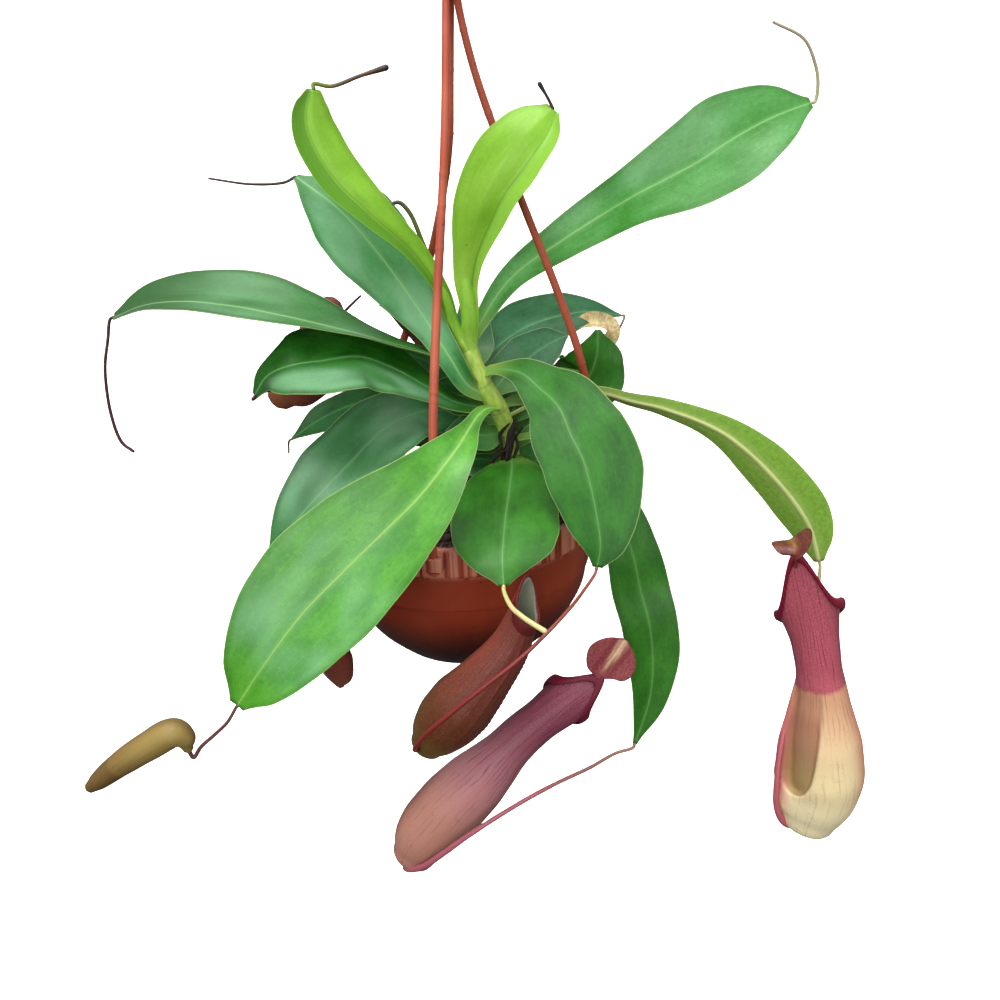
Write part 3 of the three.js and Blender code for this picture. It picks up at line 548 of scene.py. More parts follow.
def plastic_look(name, base, worn, deep, gloss, streaks, painted_shade_and_scuffs=False):
    """Moulded plastic: slight tone drift, flow streaks down the wall, dust and fine scratches.

    When asked, it also paints shade on the pot's foot and inner wall, and lightens a scuffed rim band that
    is partly painted highlight.
    """
    look = Look(name, Coat_Weight=0.03, Coat_Roughness=0.3, Specular_IOR_Level=0.28)
    drift = look.noise(22, 3)
    colour = look.tint(base, worn, drift, 0.35, 0.68)
    where = look.wire(0, "ShaderNodeMapping", {"Vector": look.here, "Scale": streaks})
    flow = look.noise(60, 4, where, 0.6)
    colour = look.tint(colour, deep, flow, 0.5, 0.8, 0.4)
    dust = look.specks(420, 0.16, 0.16)
    colour = look.mix(dust * 0.3, colour, toned(worn, 1.2, 20))
    soot = look.specks(230, 0.13, 0.12)
    colour = look.mix(soot * 0.6, colour, (40, 20, 14))
    if painted_shade_and_scuffs:
        x, y, height = (look.wire(k, "ShaderNodeSeparateXYZ", {0: look.here}) for k in "XYZ")
        # painted shade: darker towards the pot's foot
        colour = look.tint(colour, (28, 8, 3), height, *FOOT_SHADE, 0.95)
        flat = look.space(x, y)
        # lighter scuffs on the rim band: partly real wear, partly painted highlight
        scuffs = look.ease(look.noise(240, 3, flat), 0.38, 0.56)
        band = look.ease(height, *SCUFFED_HIGHLIGHT_BAND) * scuffs
        colour = look.mix(band * 0.85, colour, (222, 146, 120))
        # painted shade: the inside of the wall above the mix is darkened
        reach = look.wire("Value", "ShaderNodeVectorMath", {0: flat}, operation="LENGTH")
        inside = look.ease(reach, *INNER_WALL_SHADE_REACH) * look.ease(height, *INNER_WALL_SHADE_HEIGHT)
        colour = look.mix(inside * 0.9, colour, (26, 14, 10))
    look.colour(colour)
    fine = look.noise(1500, 3)
    look.roughness(look.ease(flow, 0.3, 0.75, gloss - 0.05, gloss + 0.16))
    look.bump(fine * 0.5 + flow, 0.2, 0.0002)
    return look.material


def pitcher_look(
    name, neck, belly, edge, stripe, lip, change=0.5, sharp=0.03, olive=(150, 122, 62),
    inside=(150, 165, 120), flesh=(206, 104, 116), blush=None, base=None,
):
    """Pitcher skin: striped neck, paler belly with fine veins and specks, flanks darkened as painted shade,
    ribbed lip.

    change is the rise where the belly becomes the neck, and sharp half the length of that change.
    """
    look = Look(name, Coat_Weight=0.05, Coat_Roughness=0.3, Specular_IOR_Level=0.35)
    rise, turn, lips = look.mark("rise"), look.mark("turn"), look.mark("lips")
    inner, hollow, along, ridge = (look.mark(k) for k in ("inner", "hollow", "along", "ridge"))
    where = look.space(along * 0.05, turn * 26.0)
    skin = look.space(along, turn * 110.0)
    broken = look.noise(0.7, 2, where)
    level = rise + (broken - 0.5) * 0.03
    # painted shade: the flanks, from about a tenth of a turn off the lid side, take the darker edge tone
    sides = look.ease(abs(turn), 0.1, 0.26)
    pale = look.mix(sides, belly, edge)
    pale = look.tint(pale, blush or edge, level, change - 0.4, change, 0.8)
    if base:
        pale = look.tint(pale, base, level, 0.24, 0.04, 0.9)
    grains = look.noise(1.6, 4, skin, 0.7)
    pale = look.tint(pale, edge, grains, 0.5, 0.75, 0.25)
    red = look.tint(neck, toned(neck, 0.72), grains, 0.4, 0.65)
    # painted shade: the neck's flanks darken the same way
    red = look.tint(red, toned(neck, 0.62), abs(turn), 0.12, 0.27, 0.6)
    colour = look.tint(pale, red, level, change - sharp, change + sharp)
    wander = turn * (2 * math.pi * 38) + broken * 12.0
    lines = look.ease(look.sine(wander), 0.5, 1.0) * look.ease(look.noise(0.9, 3, where), 0.4, 0.65)
    strong = look.ease(level, change - 0.25, change + 0.02, 0.2, 0.7)
    colour = look.mix(lines * strong, colour, stripe)
    bent = look.space(along * 0.5, turn * 90.0, broken * 6.0)
    net = look.ease(look.cells(0.3, bent, "DISTANCE_TO_EDGE"), 0.05, 0.0)
    net = net * look.ease(look.noise(0.12, 2, skin), 0.45, 0.7, 0.0, 0.2)
    colour = look.mix(net, colour, stripe)
    spots = look.specks(0.5, 0.13, 0.2, skin)
    colour = look.mix(spots * 0.45, colour, stripe)
    shine = look.noise(3.2, 2, look.space(along, turn * 80.0, 7.0))
    shine = look.ease(shine, 0.56, 0.7, 0.0, 0.3)
    colour = look.mix(shine, colour, toned(neck, 1.1, 60))
    # olive in the hollow: partly the skin's own tone, partly painted shade in the recess beside the tendril
    shade = look.tint(olive, (178, 112, 92), rise, 0.2, 0.55)
    shade = look.tint(shade, toned(olive, 0.75), grains, 0.4, 0.7, 0.3)
    colour = look.tint(colour, shade, hollow, 0.0, 0.5, 0.8)
    colour = look.mix(ridge * 0.85, colour, flesh)
    ribs = look.sine(turn * (2 * math.pi * 90))
    lip_colour = look.tint(toned(lip, 0.7), lip, ribs, -0.6, 0.9)
    colour = look.mix(lips, colour, lip_colour)
    colour = look.mix(inner, colour, look.tint(inside, toned(inside, 0.8), grains, 0.4, 0.65))
    look.colour(colour)
    look.roughness(look.ease(grains, 0.3, 0.7, 0.42, 0.6))
    look.bump(grains * 0.6 + lines * 0.3 + ribs * lips * 0.8, 0.3, 0.0003)
    return look.material


def lid_look(name, base, streak, dark):
    """Pitcher lid: speckled red-brown with a pale streak along its middle and dark sides."""
    look = Look(name, Coat_Weight=0.15, Coat_Roughness=0.3)
    across, along, reach, inset = (look.mark(k) for k in ("across", "along", "reach", "inset"))
    flat = look.space(along, across)
    grain = look.noise(0.8, 4, flat, 0.65)
    colour = look.tint(base, toned(base, 0.72), grain, 0.35, 0.65)
    spread = abs(across) / (reach * 4.2 + 0.4)
    middle = look.ease(spread, 1.2, 0.1) * look.ease(reach, 0.22, 0.6)
    middle = middle * look.ease(inset, 0.4, 3.0)
    veins = look.noise(0.7, 2, look.space(along * 0.15, across, 4.0))
    middle = middle * look.ease(veins, 0.38, 0.56, 0.35, 1.0)
    colour = look.mix(middle * look.ease(grain, 0.3, 0.55, 0.6, 0.95), colour, streak)
    beside = abs(abs(across) - 4.6)
    colour = look.tint(colour, dark, beside, 2.6, 0.2, 0.6)
    dots = look.specks(0.8, 0.22, 0.5, flat)
    colour = look.mix(dots * 0.4, colour, toned(base, 1, 55))
    look.colour(look.tint(colour, dark, inset, 1.0, 0.2, 0.6))
    look.roughness(look.ease(grain, 0.3, 0.7, 0.38, 0.55))
    look.bump(grain, 0.5, 0.0004)
    return look.material


# Leaf skins: deep green, fresh green, underside, midrib, and options
DARK = dict(rib_width=0.3, foot=(96, 146, 62))
GLOSSY = dict(gloss=0.36, sheen=0.2)
YOUNG = dict(rim=(160, 206, 80), rib_width=0.2, mottled=0.4)
# The painted sheen option paints pale patches that stand in for reflections of the sky
SKINS = {
    "bright": (
        (58, 134, 24), (90, 168, 48), (118, 158, 80), (160, 208, 108),
        dict(gloss=0.36, sheen=0.15, painted_sheen=(0.4, 0, 0.6)),
    ),
    "broad": ((28, 92, 12), (44, 118, 20), (104, 148, 68), (96, 156, 78), dict(gloss=0.5, sheen=0.0)),
    "middle": ((38, 102, 16), (56, 130, 30), (104, 148, 68), (104, 164, 84), dict(gloss=0.42)),
    "dark": ((26, 84, 26), (46, 118, 54), (92, 134, 66), (98, 160, 94), DARK),
    "rear": ((40, 98, 56), (62, 124, 80), (92, 134, 66), (108, 164, 112), DARK),
    "lower": (
        (34, 96, 38), (58, 128, 66), (92, 134, 66), (120, 176, 120),
        dict(DARK, gloss=0.38, painted_sheen=(0.42, 0, 0.25)),
    ),
    "wide": (
        (18, 76, 4), (38, 110, 24), (92, 134, 66), (112, 172, 110),
        dict(DARK, gloss=0.38, painted_sheen=(0.5, -1, 0.25)),
    ),
    "pale": (
        (58, 136, 40), (86, 162, 78), (118, 158, 88), (144, 202, 124), dict(GLOSSY, painted_sheen=(0.15, -1, 0.3)),
    ),
    "sheen": (
        (46, 124, 48), (76, 156, 84), (118, 158, 88), (150, 208, 134), dict(GLOSSY, painted_sheen=(0.58, 0, 0.3)),
    ),
    "long": (
        (36, 98, 24), (56, 122, 46), (118, 158, 88), (150, 208, 134),
        dict(GLOSSY, painted_sheen=(0.26, 0, 0.35), tip=(26, 82, 14)),
    ),
    "arching": (
        (104, 162, 48), (132, 192, 68), (148, 200, 74), (236, 246, 164),
        dict(rib_width=1.5, rib_share=0.9, foot=(210, 224, 140), foot_reach=95.0),
    ),
    "young_left": (
        (118, 176, 34), (140, 196, 54), (150, 206, 72), (92, 146, 26),
        dict(YOUNG, flap=(92, 150, 30), foot=(172, 214, 80)),
    ),
    "young_centre": (
        (126, 184, 38), (146, 202, 60), (150, 206, 72), (88, 142, 26),
        dict(YOUNG, flap=(140, 194, 66), foot=(186, 226, 92), foot_reach=70.0),
    ),
}
LOOKS = {key: leaf_look(f"leaf_{key}", *tones, **options) for key, (*tones, options) in SKINS.items()}
LOOKS["dry"] = dry_look("dry_brown_matter", (44, 26, 20), (104, 64, 44))

# Leaves
STEM_PATH = [
    (29, 19, -34), (28, 18, -10), (27, 16, 28), (22, 14, 49), (14.5, 12, 63), (9, 11, 77), (6.5, 11, 90),
]
CAMERA_SIDE = (0, -0.93, 0.36)


def on_stem(z):
    stem = np.array(STEM_PATH, float)
    return tuple(np.interp(z, stem[:, 2], stem[:, k]) for k in range(3))


# Midrib from the stem, half widths, the way that the upper face looks, and shape options
LEAVES = {
    "leaf_long_left": dict(
        mid=[
            on_stem(72), (-8.7, 4, 83), (-30.5, -6, 93), (-53.5, -13, 104.3), (-74.7, -14, 112.4),
            (-97, -12, 118.5), (-126, -10, 122), (-149, -8, 120), (-167, -6, 112),
        ],
        width=[(0, 3), (0.2, 6.5), (0.4, 13), (0.65, 21), (0.82, 18), (0.92, 13), (0.98, 6), (1, 0.8)],
        face=[(0, (0, -0.2, 1)), (1, (-0.2, -0.4, 0.9))], wave=0.8, crease=-0.5, look="long",
    ),
    "leaf_upper_left": dict(
        mid=[
            on_stem(58), (6, 3, 67), (-2, 0, 82), (-15, 4, 104), (-34, 5, 134), (-53, 9, 157),
            (-74, 17, 173),
        ],
        width=[(0, 4), (0.15, 5.5), (0.33, 8), (0.48, 14.5), (0.68, 22), (0.8, 21), (0.92, 11), (1, 0.8)],
        face=[(0, CAMERA_SIDE), (1, (0.1, -0.7, 0.7))], look="sheen",
    ),
    "leaf_young_left": dict(
        mid=[
            (3.5, 10.5, 88), (0.5, 7, 97), (-4, -2, 117), (-16, -9, 139), (-33, -13, 158), (-50, -12, 178),
            (-59, -8, 198), (-58, -4, 213),
        ],
        width=[
            (0, 3.4), (0.25, 4.2), (0.45, 6.5), (0.7, 11.5), (0.86, 11.5), (0.95, 8.5), (0.99, 4.5),
            (1, 1.5),
        ],
        face=[(0, (0.2, -0.95, 0.3))], cup=-0.35, fold=0.9, crease=-0.28, look="young_left",
    ),
    "leaf_young_centre": dict(
        mid=[
            (7.5, 10, 89.5), (8.6, 7, 97), (8.8, 5, 106), (8, 2, 122), (13, -4, 146), (23, -8, 169),
            (39, -8, 188), (53, -2, 200),
        ],
        width=[
            (0, 4.4), (0.1, 4.4), (0.2, 5.2), (0.35, 8), (0.52, 14), (0.75, 18), (0.9, 14.5), (0.97, 9),
            (1, 2),
        ],
        face=[(0, CAMERA_SIDE)], cup=-0.3, fold=1.9, crease=0.5, look="young_centre",
    ),
    "leaf_upper_right": dict(
        mid=[
            on_stem(87), (30, 22, 117), (58, 28, 135), (77, 28, 146), (95, 20, 157), (123, 14, 171),
            (141, 12, 182), (160, 14, 191), (180, 18, 197),
        ],
        width=[
            (0, 3), (0.2, 7), (0.4, 12), (0.55, 15), (0.67, 21), (0.8, 24), (0.92, 16), (0.97, 8), (1, 0.5),
        ],
        face=[(0, (-0.1, -0.9, 0.4))], look="pale",
    ),
    "leaf_wide_left": dict(
        mid=[
            on_stem(49), (-1, 4, 57.5), (-13.2, -2, 67), (-32.4, -12, 82), (-46.5, -18, 89),
            (-64.3, -26, 89.6), (-78, -30, 89), (-90, -29, 84), (-97, -29, 75),
        ],
        width=[
            (0, 2.2), (0.2, 7), (0.42, 16), (0.64, 24.5), (0.79, 24), (0.87, 17), (0.92, 9.5), (0.97, 6),
            (1, 1.0),
        ],
        face=[(0, (0, -0.5, 0.85)), (1, (-0.2, -0.55, 0.8))], wave=0.8, skew=-0.1, look="wide",
    ),
    "leaf_small_left": dict(
        mid=[
            on_stem(55), (5, 22, 57), (-20, 24, 61), (-45, 20, 57), (-61, 20, 53), (-75, 20, 47),
            (-91, 20, 37),
        ],
        width=[(0, 1.6), (0.35, 3), (0.6, 9), (0.85, 8), (1, 0.5)], face=[(0, (0, -0.8, 0.6))], look="dark",
    ),
    "leaf_lower_left": dict(
        mid=[
            on_stem(44), (-2, 16, 50), (-20, 8, 52), (-37, -8, 49), (-55, -24, 36), (-75, -36, 19),
            (-96, -42, -3),
        ],
        width=[(0, 3), (0.1, 7), (0.25, 15), (0.45, 21), (0.7, 22.5), (0.87, 15), (0.96, 7), (1, 0.5)],
        face=[(0, (-0.2, -0.8, 0.6)), (1, (-0.4, -0.8, 0.45))], look="lower",
    ),
    "leaf_front_left": dict(
        mid=[
            on_stem(51), (12, -34, 62), (0, -74, 56), (-16, -86, 40), (-32, -90, 26), (-52, -92, 8),
            (-73, -94, -12), (-95, -96, -39), (-109, -94, -59),
        ],
        width=[
            (0, 2.5), (0.27, 4), (0.37, 11), (0.46, 19.5), (0.57, 27), (0.7, 31), (0.82, 27), (0.91, 19.5),
            (0.97, 11), (1, 1),
        ],
        face=[(0, (0.3, -0.2, 1)), (0.35, (0.1, -0.75, 0.6)), (1, (-0.1, -0.93, 0.35))], wave=0.6,
        skew=0.05, steps=130, look="bright",
    ),
    "leaf_front_right": dict(
        mid=[
            on_stem(69), (19, 7, 73), (33, -4, 74), (43, -16, 68), (51, -28, 62), (56, -40, 51),
            (61, -48, 41), (64, -56, 29), (66, -62, 17), (67, -68, 4), (65, -70, -6),
        ],
        width=[
            (0, 3), (0.1, 3.6), (0.16, 6.6), (0.25, 10.6), (0.35, 15.4), (0.52, 23), (0.7, 24),
            (0.87, 16.5), (0.96, 8), (1, 0.8),
        ],
        face=[(0, (-0.2, -0.6, 0.8)), (1, (0, -0.95, 0.2))], skew=-0.14, look="broad",
    ),
    "leaf_front_small": dict(
        mid=[on_stem(24), (27, -10, 25), (25, -34, 22), (22, -62, 16), (20, -82, 6), (20, -90, -4)],
        width=[(0, 4), (0.12, 12), (0.3, 21), (0.5, 25), (0.7, 26.5), (0.83, 23.5), (0.93, 14), (1, 1)],
        face=[(0, (0, -0.5, 0.9)), (1, (0, -0.8, 0.6))], cup=-0.12, look="middle",
    ),
    "leaf_hanging_right": dict(
        mid=[
            on_stem(32), (42, 8, 36), (62, -4, 26), (80, -20, 4), (88, -26, -20), (92, -28, -40),
            (96, -32, -57), (98, -34, -79), (96, -36, -102), (88, -38, -128),
        ],
        width=[(0, 2), (0.22, 4), (0.38, 12), (0.55, 15.5), (0.75, 14.5), (0.9, 8), (1, 0.6)],
        face=[(0, (0.3, -0.5, 0.8)), (0.4, (0.1, -0.9, 0.2)), (1, (-0.1, -1, 0))], look="middle",
    ),
    "leaf_arching_right": dict(
        mid=[
            on_stem(45), (57, 27, 55), (77, 29, 53), (94, 27, 48), (112, 22, 44), (143, 19, 30),
            (172, 20, 3), (195, 24, -29), (203, 26, -53),
        ],
        width=[(0, 2.5), (0.3, 4.2), (0.5, 8), (0.68, 14.5), (0.85, 15.5), (0.94, 11), (0.98, 6), (1, 1)],
        face=[(0, (-0.1, 0.2, 1)), (0.3, (0.1, 0.85, 0.4)), (1, (0.3, 0.9, 0.2))], cup=0.2, look="arching",
    ),
    "leaf_back_right_1": dict(
        mid=[on_stem(66), (18, 30, 76), (38, 44, 87), (58, 48, 92), (75, 50, 93), (91, 52, 90)],
        width=[(0, 2.5), (0.2, 11), (0.45, 16), (0.7, 13), (0.88, 5.5), (1, 0.5)],
        face=[(0, (0.1, -0.8, 0.6))], look="rear",
    ),
    "leaf_back_right_2": dict(
        mid=[on_stem(58), (25, 22, 65), (38, 25, 74), (48, 28, 80), (60, 30, 85)],
        width=[(0, 2), (0.25, 11), (0.55, 14), (0.85, 9), (1, 0.6)], face=[(0, (0.2, -0.8, 0.6))],
        look="rear",
    ),
    "leaf_back_right_3": dict(
        mid=[on_stem(52), (46, 34, 52), (60, 38, 53), (71, 37, 59), (76, 36, 71), (77, 36, 86)],
        width=[(0, 2), (0.25, 5), (0.5, 16), (0.72, 20), (0.88, 13), (1, 0.8)],
        face=[(0, (0, -0.5, 0.9)), (0.5, (0, -0.9, 0.3))], look="middle",
    ),
    "leaf_behind_left": dict(
        mid=[
            on_stem(80), (0, 21, 87), (-8, 24, 99), (-16, 24, 113), (-26, 26, 134), (-38, 28, 158),
            (-50, 30, 168),
        ],
        width=[(0, 2), (0.3, 4), (0.6, 10), (0.85, 8), (1, 0.6)], face=[(0, (0.2, -0.9, 0.3))],
        look="sheen",
    ),
    "leaf_behind_stem": dict(
        mid=[on_stem(74), (11, 24, 79), (9, 34, 91), (4, 42, 104)],
        width=[(0, 3), (0.35, 10), (0.7, 10), (1, 0.6)], face=[(0, (0, -0.8, 0.6))], look="rear",
    ),
    "leaf_small_stem": dict(
        mid=[on_stem(37), (13, 7, 38), (4, 2, 42), (-7, -1, 43)],
        width=[(0, 2), (0.35, 9), (0.75, 9), (1, 1)], face=[(0, (0, -0.8, 0.6))], look="dark",
    ),
    "dry_leaf": dict(
        mid=[on_stem(67), (-4, 22, 82), (-18, 24, 95), (-30, 22, 104), (-38, 20, 108)],
        width=[(0, 1.5), (0.3, 7), (0.55, 10), (0.8, 7), (1, 0.8)], face=[(0, CAMERA_SIDE)], cup=0.5,
        wave=2.0, look="dry",
    ),
}
for number, (name, leaf) in enumerate(LEAVES.items()):
    options = dict(leaf)
    kind = options.pop("look")
    piece(
        f"{name}_blade", blade(**options, seed=number + 5), LOOKS[kind],
        [name],
    )

# Pitchers
WALL = 1.3
HOLLOW_DEPTH = 4.2
DOME_LEVELS = (0.99, 0.93, 0.8, 0.6, 0.35)
LIP_ROLL = [
    (0.1, -4.6), (0.45, -5.0), (0.75, -4.4), (0.95, -3.0), (1.05, -1.2), (0.95, 0.4), (0.66, 1.2),
    (0.28, 1.6), (-0.1, 1.6), (-0.4, 1.1), (-0.55, 0.4),
]
PITCHER_AXES = {
    "right": [
        (201, 0, -213), (203, 0, -204), (206, 0, -183), (203.5, 0, -147), (200.5, 0, -119), (195.5, 0, -90),
        (190.5, 0, -68),
    ],
    "middle": [
        (-35, -56, -179), (-28, -57, -166), (-11, -58, -146), (9, -58, -125), (26, -57, -107),
        (43, -56, -93), (52, -54, -87),
    ],
    "front": [
        (-20, -86, -89), (-13, -90, -78), (-4, -93, -66), (9, -95, -50), (22, -96, -32), (30, -97, -14),
    ],
    "young": [
        (-136, -94, -81), (-137, -94, -76), (-142, -94, -73), (-154, -94, -79), (-170, -94, -89),
        (-186, -94, -101),
    ],
    "hidden_low": [(-66, -54, -73), (-65, -56, -66), (-67, -59, -50), (-70, -61, -34), (-73, -62, -22)],
    "hidden_left": [(-97, 42, 57), (-90, 42, 62), (-82, 42, 73), (-74, 42, 88), (-68, 42, 101)],
}


def smooth_step(value, low, high):
    share = np.clip((value - low) / (high - low), 0, 1)
    return share * share * (3 - 2 * share)


def pitcher(
    axis, radii, lid_side, lean, lip, ears=0.5, tilt=0.0, hollow=None, ridge=None, wings=1.4, gather=0.7,
    even=0.2, sides=132, steps=130,
):
    """An open pitcher: domed base, outer skin, rolled lip that rises to a narrow peak, and inner skin.

    even is the share of the mouth's slant that is a plain cut, and the rest is the narrow peak.
    hollow and ridge take the angle and the rise and give how far the skin is pushed in or out.
    """
    path = Path(axis)
    t = np.linspace(0, 1, steps + 1)
    at, tangent = path.at(t), path.tangent(t)
    side = travelling_sides(tangent, lid_side)
    cross = np.cross(tangent, side)
    base = keyed(radii, t)
    turn = np.linspace(-np.pi, np.pi, sides, endpoint=False)
    rows, rises, lips, inners, hollows, ridges = [], [], [], [], [], []

    def ring(k, r, push=0.0, lip_mark=0.0, inner_mark=0.0, hollow_mark=0.0, ridge_mark=0.0):
        share = max(0, (t[k] - 0.72) / 0.28) ** 1.5
        a = turn * (1 - gather * share * np.exp(-((turn / 0.9) ** 2)))
        rising = np.maximum(0, np.cos(a))
        peak = np.where(np.cos(a) > 0, (1 - even) * rising**5 + even * rising, 0.4 * np.cos(a))
        rise = share * base[k] * (lean * peak + tilt * np.sin(a))
        r = r + 0 * a
        beside, across = (r * np.cos(a))[:, None], (r * np.sin(a))[:, None]
        rows.append(at[k] + side[k] * beside + cross[k] * across + tangent[k] * (rise + push)[:, None])
        marks = (t[k], lip_mark, inner_mark, hollow_mark, ridge_mark)
        for store, value in zip((rises, lips, inners, hollows, ridges), marks):
            store.append(value + 0 * a)

    start_swell = ridge(turn, 0.0) if ridge else 0.0
    for dome in DOME_LEVELS:
        ring(0, (base[0] + start_swell) * math.sqrt(1 - dome**2), -dome * base[0] * 0.68)
    for k in range(steps + 1):
        r = base[k] + 0.06 * np.sin(17 * turn) * smooth_step(t[k], 0.2, 0.6)
        off = np.pi - np.abs(turn)
        keel = np.exp(-(((off - 0.42) / 0.05) ** 2))
        keel = keel * smooth_step(t[k], 0.1, 0.3) * smooth_step(-t[k], -0.97, -0.8)
        r = r + wings * keel * (0.75 + 0.25 * math.sin(t[k] * path.length * 2.2))
        dent = hollow(turn, t[k]) if hollow else 0.0
        swell = ridge(turn, t[k]) if ridge else 0.0
        ring(
            k, r - HOLLOW_DEPTH * dent + swell, hollow_mark=dent,
            ridge_mark=np.clip((swell - 0.8) * 0.5, 0, 1) * smooth_step(t[k], 0.02, 0.2),
        )
    mouth = base[-1]
    flare = lip * (1 + ears * np.exp(-(((np.abs(turn) - 1.75) / 0.42) ** 2)))
    ribbed = 0.1 * np.sin(66 * turn)
    for out, push in LIP_ROLL:
        ring(steps, mouth + flare * out + ribbed, push, lip_mark=1.0)
    for k in range(steps, 2, -2):
        dent = hollow(turn, t[k]) if hollow else 0.0
        ring(k, np.maximum(base[k] - WALL - HOLLOW_DEPTH * dent, 0.6), 0.0, inner_mark=1.0)
    body = np.array(rows)
    shape = body.shape[:2]
    marks = {
        "rise": np.array(rises),
        "lips": np.array(lips),
        "inner": np.array(inners),
        "hollow": np.array(hollows),
        "ridge": np.array(ridges),
        "turn": np.broadcast_to(turn / (2 * np.pi), shape),
        "along": np.array(rises) * path.length,
    }
    hinge = at[-1] + side[-1] * (mouth + lip * 0.3) + tangent[-1] * (lean * mouth + 0.6)
    return (body, ring_faces(*shape), marks), hinge


RIDGE_ANGLE = math.radians(-82)


def right_hollow(turn, t):
    """The hollow between the right pitcher's tendril and its belly, which the skin tints olive, partly as
    painted shade.
    """
    rises = [0.15, 0.17, 0.2, 0.26, 0.34, 0.48, 0.66]
    left = math.radians(np.interp(t, [0.15, 0.17, 0.2, 0.26, 0.48, 0.66], [-52, -64, -70, -74, -80, -78]))
    right = math.radians(np.interp(t, rises, [-46, -34, -24, -15, -9, -1, 8]))
    across = smooth_step(turn, left, left + 0.12) * smooth_step(-turn, -right, -right + 0.14)
    depth = 0.3 + 0.7 * smooth_step(-t, -0.6, -0.35)
    return across * smooth_step(t, 0.145, 0.18) * depth * smooth_step(-t, -0.7, -0.62)


def right_ridge(turn, t):
    """The fleshy ridge that joins the right pitcher's tendril to its side and base."""
    height = np.interp(t, [0, 0.05, 0.12, 0.22, 0.35, 0.45, 0.6, 0.68], [3.5, 5, 5.4, 5, 4.4, 3.4, 2, 0])
    spread = math.radians(np.interp(t, [0, 0.08, 0.17, 0.26, 0.4, 0.6], [50, 34, 17, 10, 8, 8]))
    return height * np.exp(-(((turn - RIDGE_ANGLE) / spread) ** 2))


def lid(name, hinge, mid, width, face, cup, look):
    path = [tuple(hinge + np.array(p)) for p in mid]
    body = blade(path, width, face, cup=cup, steps=64, rib=0.5, uneven=0.6, thick=0.5)
    return piece(name, body, look)


def round_outline(neck, half, start=0.2):
    """Half widths of a lid: a narrow neck, then a round."""
    rounds = [
        (start + (1 - start) * u, half * math.sin(math.pi * min(u**0.85, 0.995)) ** 0.55)
        for u in np.linspace(0.05, 1, 12)
    ]
    return [(0, neck), (start, neck)] + rounds


RED_LOOK = pitcher_look(
    "pitcher_crimson", (208, 98, 114), (240, 222, 170), (216, 142, 108), (126, 30, 50), (150, 24, 58),
    change=0.66, sharp=0.012, blush=(208, 144, 112), base=(255, 244, 198),
)
body, hinge = pitcher(
    PITCHER_AXES["right"],
    [
        (0, 14), (0.04, 17.5), (0.1, 21), (0.23, 24), (0.4, 22), (0.57, 16), (0.72, 12.8), (0.86, 13.5),
        (0.94, 15.5), (1, 17.8),
    ],
    (-0.3, -0.95, 0), 2.4, 1.9, ears=0.25, tilt=0.12, hollow=right_hollow, ridge=right_ridge,
)
piece("pitcher_right_skin", body, RED_LOOK, ["pitcher_right"])
lid(
    "pitcher_right_lid", hinge, [(0.3, -1.5, -7), (0.1, -1.4, 0), (0.3, 2, 3), (0.8, 8, 3), (1.6, 16, 1)],
    round_outline(2, 11), [(0, (-0.37, 0.0, 0.93))], 0.4,
    lid_look("lid_brown_red", (128, 56, 44), (156, 116, 56), (92, 34, 30)),
)

PURPLE_LOOK = pitcher_look(
    "pitcher_purple", (150, 72, 92), (184, 130, 112), (118, 68, 44), (92, 24, 46), (128, 22, 52),
    change=0.62, sharp=0.26, blush=(204, 138, 148),
)
body, hinge = pitcher(
    PITCHER_AXES["middle"],
    [
        (0, 12), (0.06, 15), (0.15, 17.4), (0.3, 18.4), (0.45, 17), (0.65, 12), (0.85, 10.8), (0.95, 12),
        (1, 13.2),
    ],
    (-0.1, -0.9, 0.5), 1.5, 1.2, ears=0.35,
)
piece("pitcher_middle_skin", body, PURPLE_LOOK, ["pitcher_middle"])
lid(
    "pitcher_middle_lid", hinge,
    [(-5, 1.5, -4), (-2, 0, -0.5), (0, 0.5, 3), (5.5, 2.5, 9.5), (12.5, 5, 18)], round_outline(2, 14),
    [(0, (0.2, -1, 0.2))], 0.1, lid_look("lid_wine_red", (158, 70, 74), (226, 190, 150), (116, 26, 36)),
)

BROWN_LOOK = pitcher_look(
    "pitcher_brown", (146, 68, 52), (100, 82, 24), (94, 48, 18), (80, 24, 16), (118, 30, 28), change=0.45,
    sharp=0.3, inside=(140, 146, 124), base=(108, 88, 30),
)
body, hinge = pitcher(
    PITCHER_AXES["front"],
    [(0, 9), (0.08, 12.6), (0.2, 15.5), (0.35, 16), (0.6, 12), (0.85, 8.6), (1, 7.2)], (-0.5, 0.7, 0.5),
    1.9, 0.6, ears=0.0, wings=0.5, gather=0.0, even=0.9,
)
piece("pitcher_front_skin", body, BROWN_LOOK, ["pitcher_front"])


def closed_pitcher(name, radii, look):
    body, faces, marks = tube(PITCHER_AXES[name], radii, sides=48, steps=90, hint=(0, -1, 0.2))
    marks["rise"] = marks["reach"]
    for key in ("lips", "inner", "hollow", "ridge"):
        marks[key] = 0 * marks["reach"]
    marks["turn"] = (marks["turn"] + 0.5) % 1 - 0.5
    piece(f"pitcher_{name}_skin", (body, faces, marks), look, [f"pitcher_{name}"])


